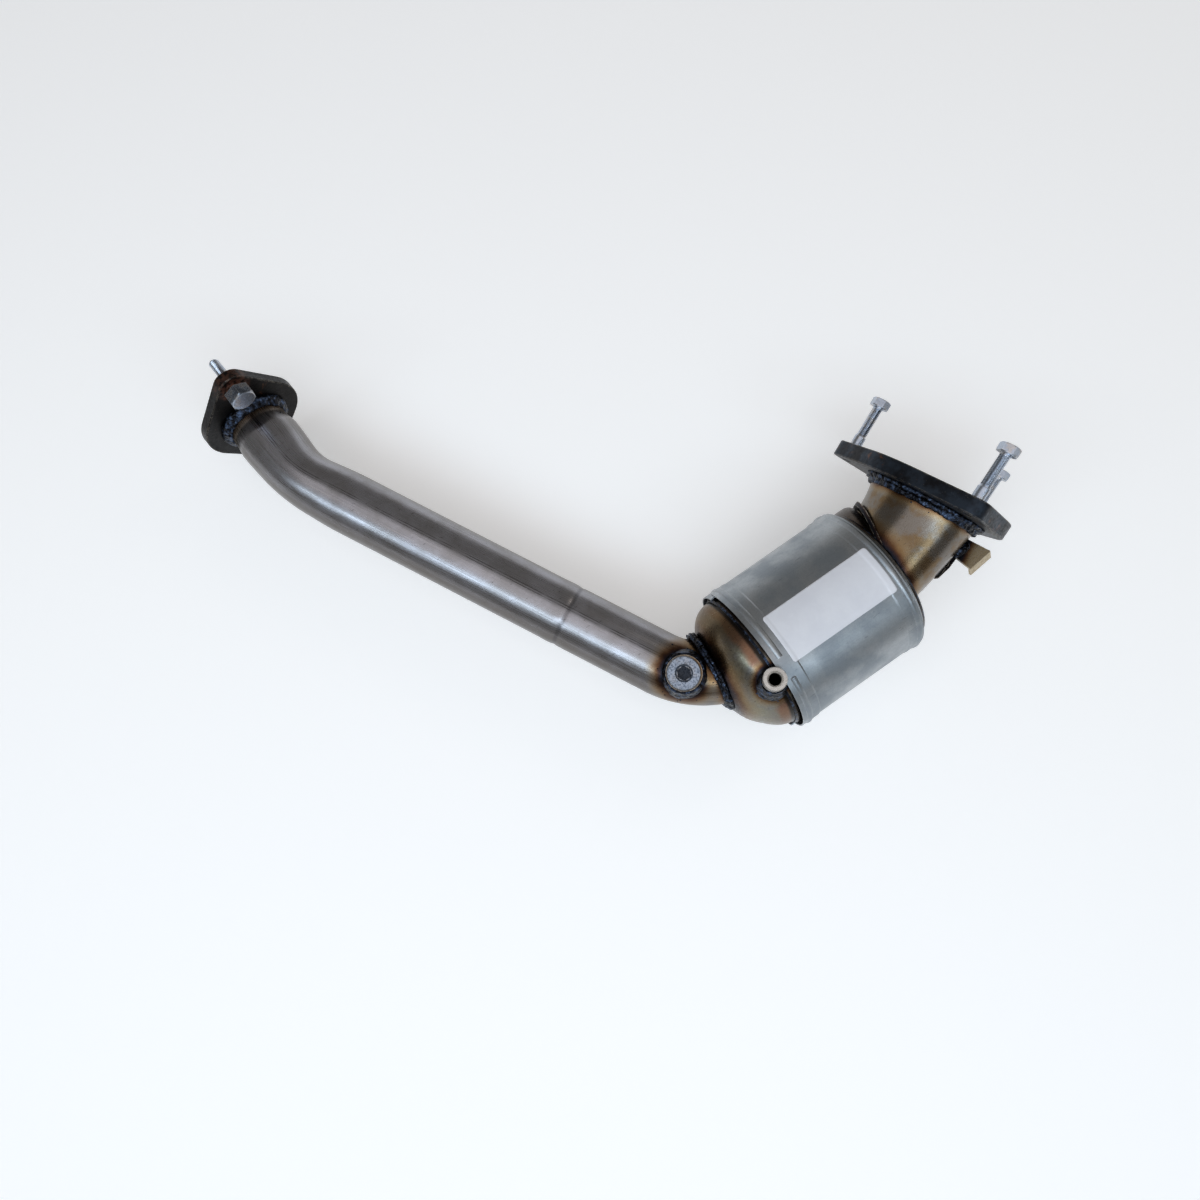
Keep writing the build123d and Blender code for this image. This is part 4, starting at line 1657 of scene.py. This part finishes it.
@dataclass
class Brick:
    """The coated honeycomb brick, with open channels on the side that shows through the inlet."""

    radius: float = 51.5
    half: float = 40.0
    pitch: float = 1.6
    wall: float = 0.32
    deep: float = 7.0
    rim: float = 1.6
    around: int = 128

    def build(self, material: bpy.types.Material) -> bpy.types.Object:
        """Builds the brick as one skin.

        Args:
            material: Its material.

        Returns:
            The piece.
        """
        skin = Skin(self.radius)
        count = math.ceil(self.radius / self.pitch)
        for i in range(-count, count):
            for j in range(-count, count):
                self._cell(skin, i * self.pitch, j * self.pitch)
        h = self.half
        turns = [2 * math.pi * j / self.around for j in range(self.around + 1)]
        edge = [(math.cos(a) * self.radius, math.sin(a) * self.radius) for a in turns]
        for a, b in zip(edge, edge[1:]):
            skin.face([(h, *a), (-h, *a), (-h, *b), (h, *b)])
            skin.face([(-h, 0, 0), (-h, *b), (-h, *a)])
        piece = make_piece("coated_brick", skin.points, skin.faces, smooth=False)
        finish_piece(piece, material, Slot.BRICK, "honeycomb")
        return piece

    def _cell(self, skin: Skin, y: float, z: float) -> None:
        """One channel mouth with half of the walls round it, or a plain patch at the brick's rim.

        Args:
            skin: The brick's skin.
            y: The cell's first side.
            z: Its lower side.
        """
        p, w, x, d = self.pitch, self.wall / 2, self.half, self.half - self.deep
        corners = [(y, z), (y + p, z), (y + p, z + p), (y, z + p)]
        far = [math.hypot(*c) for c in corners]
        if min(far) > self.radius:
            return
        outer = [(x, *c) for c in corners]
        if max(far) > self.radius - self.rim:
            skin.face(outer)
            return
        inner = [(y + w, z + w), (y + p - w, z + w), (y + p - w, z + p - w), (y + w, z + p - w)]
        for k in range(4):
            n = (k + 1) % 4
            skin.face([outer[k], outer[n], (x, *inner[n]), (x, *inner[k])])
            skin.face([(x, *inner[k]), (x, *inner[n]), (d, *inner[n]), (d, *inner[k])])
        skin.face([(d, *c) for c in inner])


# Stage.


@dataclass(frozen=True)
class Lamp:
    """A soft lamp aimed at a point, with its brightness as seen and its size in metres."""

    name: str
    at: Triple
    aim: Triple
    size: tuple[float, float]
    level: float
    colour: Triple

    def build(self) -> None:
        """Adds the lamp; level 1 looks white."""
        data = bpy.data.lights.new(self.name, "AREA")
        data.shape = "RECTANGLE"
        data.size, data.size_y = self.size
        data.energy = self.level * math.pi * self.size[0] * self.size[1]
        data.color = self.colour
        lamp = bpy.data.objects.new(self.name, data)
        lamp.location = self.at
        way = Vector(self.aim) - Vector(self.at)
        lamp.rotation_euler = way.to_track_quat("-Z", "Y").to_euler()
        lamp.visible_camera = False
        bpy.context.scene.collection.objects.link(lamp)


@dataclass(frozen=True)
class Stage:
    """The floor, the world, the lamps and the camera."""

    floor_size: float = 60.0
    floor_level: float = 0.35
    floor_paint: Colour = rgb(238, 238, 238)
    world_level: float = 0.2
    world_colour: Colour = (1.0, 0.97, 0.94, 1)
    middle: Triple = (-0.25, -0.06, -0.03)
    lens: float = 23.4
    eye: Triple = (-0.24808, -0.149543, 0.58456)
    right: Triple = (0.999948, 0.000004, -0.01019)
    up: Triple = (0.001085, 0.994278, 0.106819)
    back: Triple = (0.010132, -0.106825, 0.994226)

    def build(self) -> None:
        """Adds everything that isn't part of the object."""
        self._floor()
        self._world()
        self._lamps()
        self._camera()

    def _floor(self) -> None:
        """A plain pale floor at the lowest point of the part."""
        low = min(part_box(name)[0].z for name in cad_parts)
        mesh = bpy.data.meshes.new("floor")
        h = self.floor_size / 2
        mesh.from_pydata([(-h, -h, low), (h, -h, low), (h, h, low), (-h, h, low)], [], [(0, 1, 2, 3)])
        floor = add_object("floor", mesh)
        material = bpy.data.materials.new("floor_paint")
        material.use_nodes = True
        graph = Graph(material.node_tree)
        shader = material.node_tree.nodes["Principled BSDF"]
        shader.inputs["Base Color"].default_value = self.floor_paint
        shader.inputs["Roughness"].default_value = 0.9
        path = graph.node("ShaderNodeLightPath")
        seen = graph.math("MAXIMUM", path.outputs["Is Camera Ray"], path.outputs["Is Glossy Ray"])
        seen = graph.math("MAXIMUM", seen, path.outputs["Is Transmission Ray"])
        shader.inputs["Emission Color"].default_value = (1, 1, 1, 1)
        graph.feed(shader.inputs["Emission Strength"], graph.times(seen, self.floor_level))
        mesh.materials.append(material)

    def _world(self) -> None:
        """An even pale grey surround."""
        world = bpy.data.worlds.new("surround")
        world.use_nodes = True
        back = world.node_tree.nodes["Background"]
        back.inputs["Color"].default_value = self.world_colour
        back.inputs["Strength"].default_value = self.world_level
        bpy.context.scene.world = world

    def _lamps(self) -> None:
        """A wide soft lamp overhead, a cool one like a window on the near side and a small warm one."""
        for lamp in (
            Lamp("overhead", (-0.35, -0.3, 1.4), self.middle, (1.9, 1.1), 0.8, (1.0, 0.97, 1.0)),
            Lamp("window", (-0.35, -0.95, 1.2), self.middle, (3.2, 0.42), 3.6, (0.72, 0.87, 1.0)),
            Lamp("fill", (0.9, 0.9, 1.2), self.middle, (0.5, 0.5), 1.6, (1.0, 0.9, 0.8)),
        ):
            lamp.build()

    def _camera(self) -> None:
        """The camera at the reference view's angle and distance."""
        data = bpy.data.cameras.new("camera")
        data.lens = self.lens
        data.sensor_width = 36.0
        data.clip_start = 0.01
        camera = bpy.data.objects.new("camera", data)
        turn = Matrix((self.right, self.up, self.back)).transposed().to_4x4()
        camera.matrix_world = Matrix.Translation(Vector(self.eye)) @ turn
        bpy.context.scene.collection.objects.link(camera)
        bpy.context.scene.camera = camera


def inlet_screws() -> list[Screw]:
    """The three screws in the inlet flange, each with a sleeve at its root.

    Returns:
        The screws.
    """
    made = []
    for i in range(3):
        a = math.radians(120 * i)
        across = INLET.across * math.cos(a) + INLET.beside * math.sin(a)
        place = Place(INLET.origin + across * INLET_BOLT_REACH, across, INLET.out)
        made.append(Screw(
            f"inlet_screw_{i + 1}", f"inlet_bolt_{i + 1}", place, low=-10.0, high=34.0, head_at=34.0,
            head_up=True, across_flats=13.0, head_height=5.6, thread_from=9.5, thread_to=32.5,
            washer=0.9, sleeve=9.0,
        ))
    return made


def outlet_screws() -> list[Screw]:
    """The two screws in the outlet flange, with their heads on the pipe's side.

    Returns:
        The screws.
    """
    made = []
    for i, side in enumerate((1, -1)):
        place = Place(OUTLET.at(side * OUTLET_BOLT_REACH, 0, 0), OUTLET.across, OUTLET.out)
        made.append(Screw(
            f"outlet_screw_{i + 1}", f"outlet_bolt_{i + 1}", place, low=-4.0, high=26.5, head_at=-4.0,
            head_up=False, across_flats=18.0, head_height=9.0, thread_from=-3.0, thread_to=27.0,
        ))
    return made


def weld_beads() -> list[WeldBead]:
    """The six beads that show.

    Returns:
        The beads.
    """
    return [
        WeldBead("pipe_dome_weld", MOUTH, pitch=3.4, lumps=1.0, ripple=0.4),
        WeldBead("outlet_flange_weld", OUTLET, lumps=0.95),
        WeldBead("inlet_flange_weld", INLET, lumps=0.9, voxel=0.0008, pitch=3.0),
        WeldBead("sensor_boss_weld", SENSOR, lumps=0.8, ripple=0.25),
        WeldBead("pressure_port_weld", PORT, lumps=0.5, ripple=0.2, voxel=0.0005),
        WeldBead("bracket_weld", TAB, lumps=0.8, ripple=0.3, voxel=0.0005, lump_size=4.0),
    ]


def node_finishes() -> list[tuple[Finish, tuple[str, ...]]]:
    """The finishes of the CAD nodes that stay in view.

    Returns:
        Each finish with its nodes.
    """
    port_foot = Place.facing(PORT.at(0, 0, 5), PORT.out, PORT.across)
    blob_side = Place.facing(Vector((120.0, -22.0, 18.0)), Vector((0.45, -0.88, 0.0)), EAST)
    return [
        (DomeSteel("can_skin", rgb(66, 58, 50), rgb(56, 44, 34), rgb(68, 48, 38), False),
         ("canister_shell", "inlet_cap")),
        (Matt("mat_fibre", rgb(196, 192, 182), rgb(158, 150, 138), 1.0, 0.85, 0.0004), ("support_mat",)),
        (DomeSteel(), ("outlet_dome",)),
        (ShieldSteel(), ("shield_front", "shield_rear")),
        # A darker copy of the flange finish: painted shade on the outlet flange and its washers.
        (FlangeBlack("shaded_flange_skin", rgb(15, 13, 13), rgb(27, 25, 25)),
         ("outlet_flange", "outlet_washer_1", "outlet_washer_2")),
        (FlangeBlack(), ("inlet_flange",)),
        (NeckSteel(), ("inlet_neck",)),
        # Painted shade: the weld at the neck's foot is a dark matte brown so that it sinks into the shade
        # there.
        (PlainSteel("shaded_foot_skin", rgb(48, 42, 38), rgb(34, 31, 31), CAP, 12.0, 0.5), ("inlet_neck_weld",)),
        (PlainSteel("boss_skin", rgb(96, 92, 88), rgb(70, 62, 56), MOUTH, 26.0), ("sensor_boss",)),
        (PlainSteel("seal_skin", rgb(120, 114, 106), rgb(90, 84, 78), MOUTH, 20.0, 0.4), ("plug_seal",)),
        (ZincPlate("plug_skin", rgb(150, 162, 178), rgb(84, 94, 108), 0.9, warm_share=0.1, fine_scale=0.8,
                   pit=SENSOR), ("sensor_plug",)),
        (PlainSteel("port_skin", rgb(226, 224, 220), rgb(212, 208, 202), port_foot, 4.0, 0.26, 0.1),
         ("pressure_port",)),
        (PlainSteel("bracket_skin", rgb(188, 174, 148), rgb(158, 138, 106), blob_side, 12.0), ("bracket",)),
    ]


def dress_nodes(effects: Effects, weld: bpy.types.Material) -> None:
    """Gives each CAD node that stays in view its material.

    Args:
        effects: The shared node groups.
        weld: The material of the seams, which the bead pieces share.
    """
    dressed = [(finish.build(effects), nodes) for finish, nodes in node_finishes()]
    for material, nodes in [*dressed, (weld, ("outlet_seam_weld", "inlet_seam_weld"))]:
        for name in nodes:
            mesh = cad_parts[name].data
            mesh.materials.clear()
            mesh.materials.append(material)
            LOG.info("node %s: %s", name, material.name)


def main() -> None:
    """Builds every piece, dresses every node and sets the stage."""
    logging.basicConfig(level=logging.INFO, format="%(name)s %(message)s")
    bpy.context.scene.view_settings.view_transform = "Standard"
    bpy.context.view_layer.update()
    effects = Effects()
    weld = WeldSkin().build(effects)
    dress_nodes(effects, weld)
    pipe = OutletPipe()
    pipe.build(PipeSteel(radius=pipe.radius, seam=pipe.seam_angle()).build(effects))
    for bead in weld_beads():
        bead.build(weld)
    Spatter().build(weld)
    bright = ZincPlate().build(effects)
    for screw in inlet_screws():
        screw.build(bright)
    # The outlet screws take painted shade on their heads' sides and shanks next to the flange.
    shaded_zinc = ZincPlate("shaded_zinc_skin", shade_behind=OUTLET).build(effects)
    for screw in outlet_screws():
        screw.build(shaded_zinc)
    paper = Matt("sticker_paper", rgb(240, 241, 246), rgb(234, 235, 241), 0.3, 0.45, 0.00005)
    Sticker().build(paper.build(effects))
    coating = Matt("brick_coat", rgb(176, 164, 146), rgb(146, 132, 112), 2.0, 0.85)
    Brick().build(coating.build(effects))
    Stage().build()


if __name__ == "__main__":
    main()
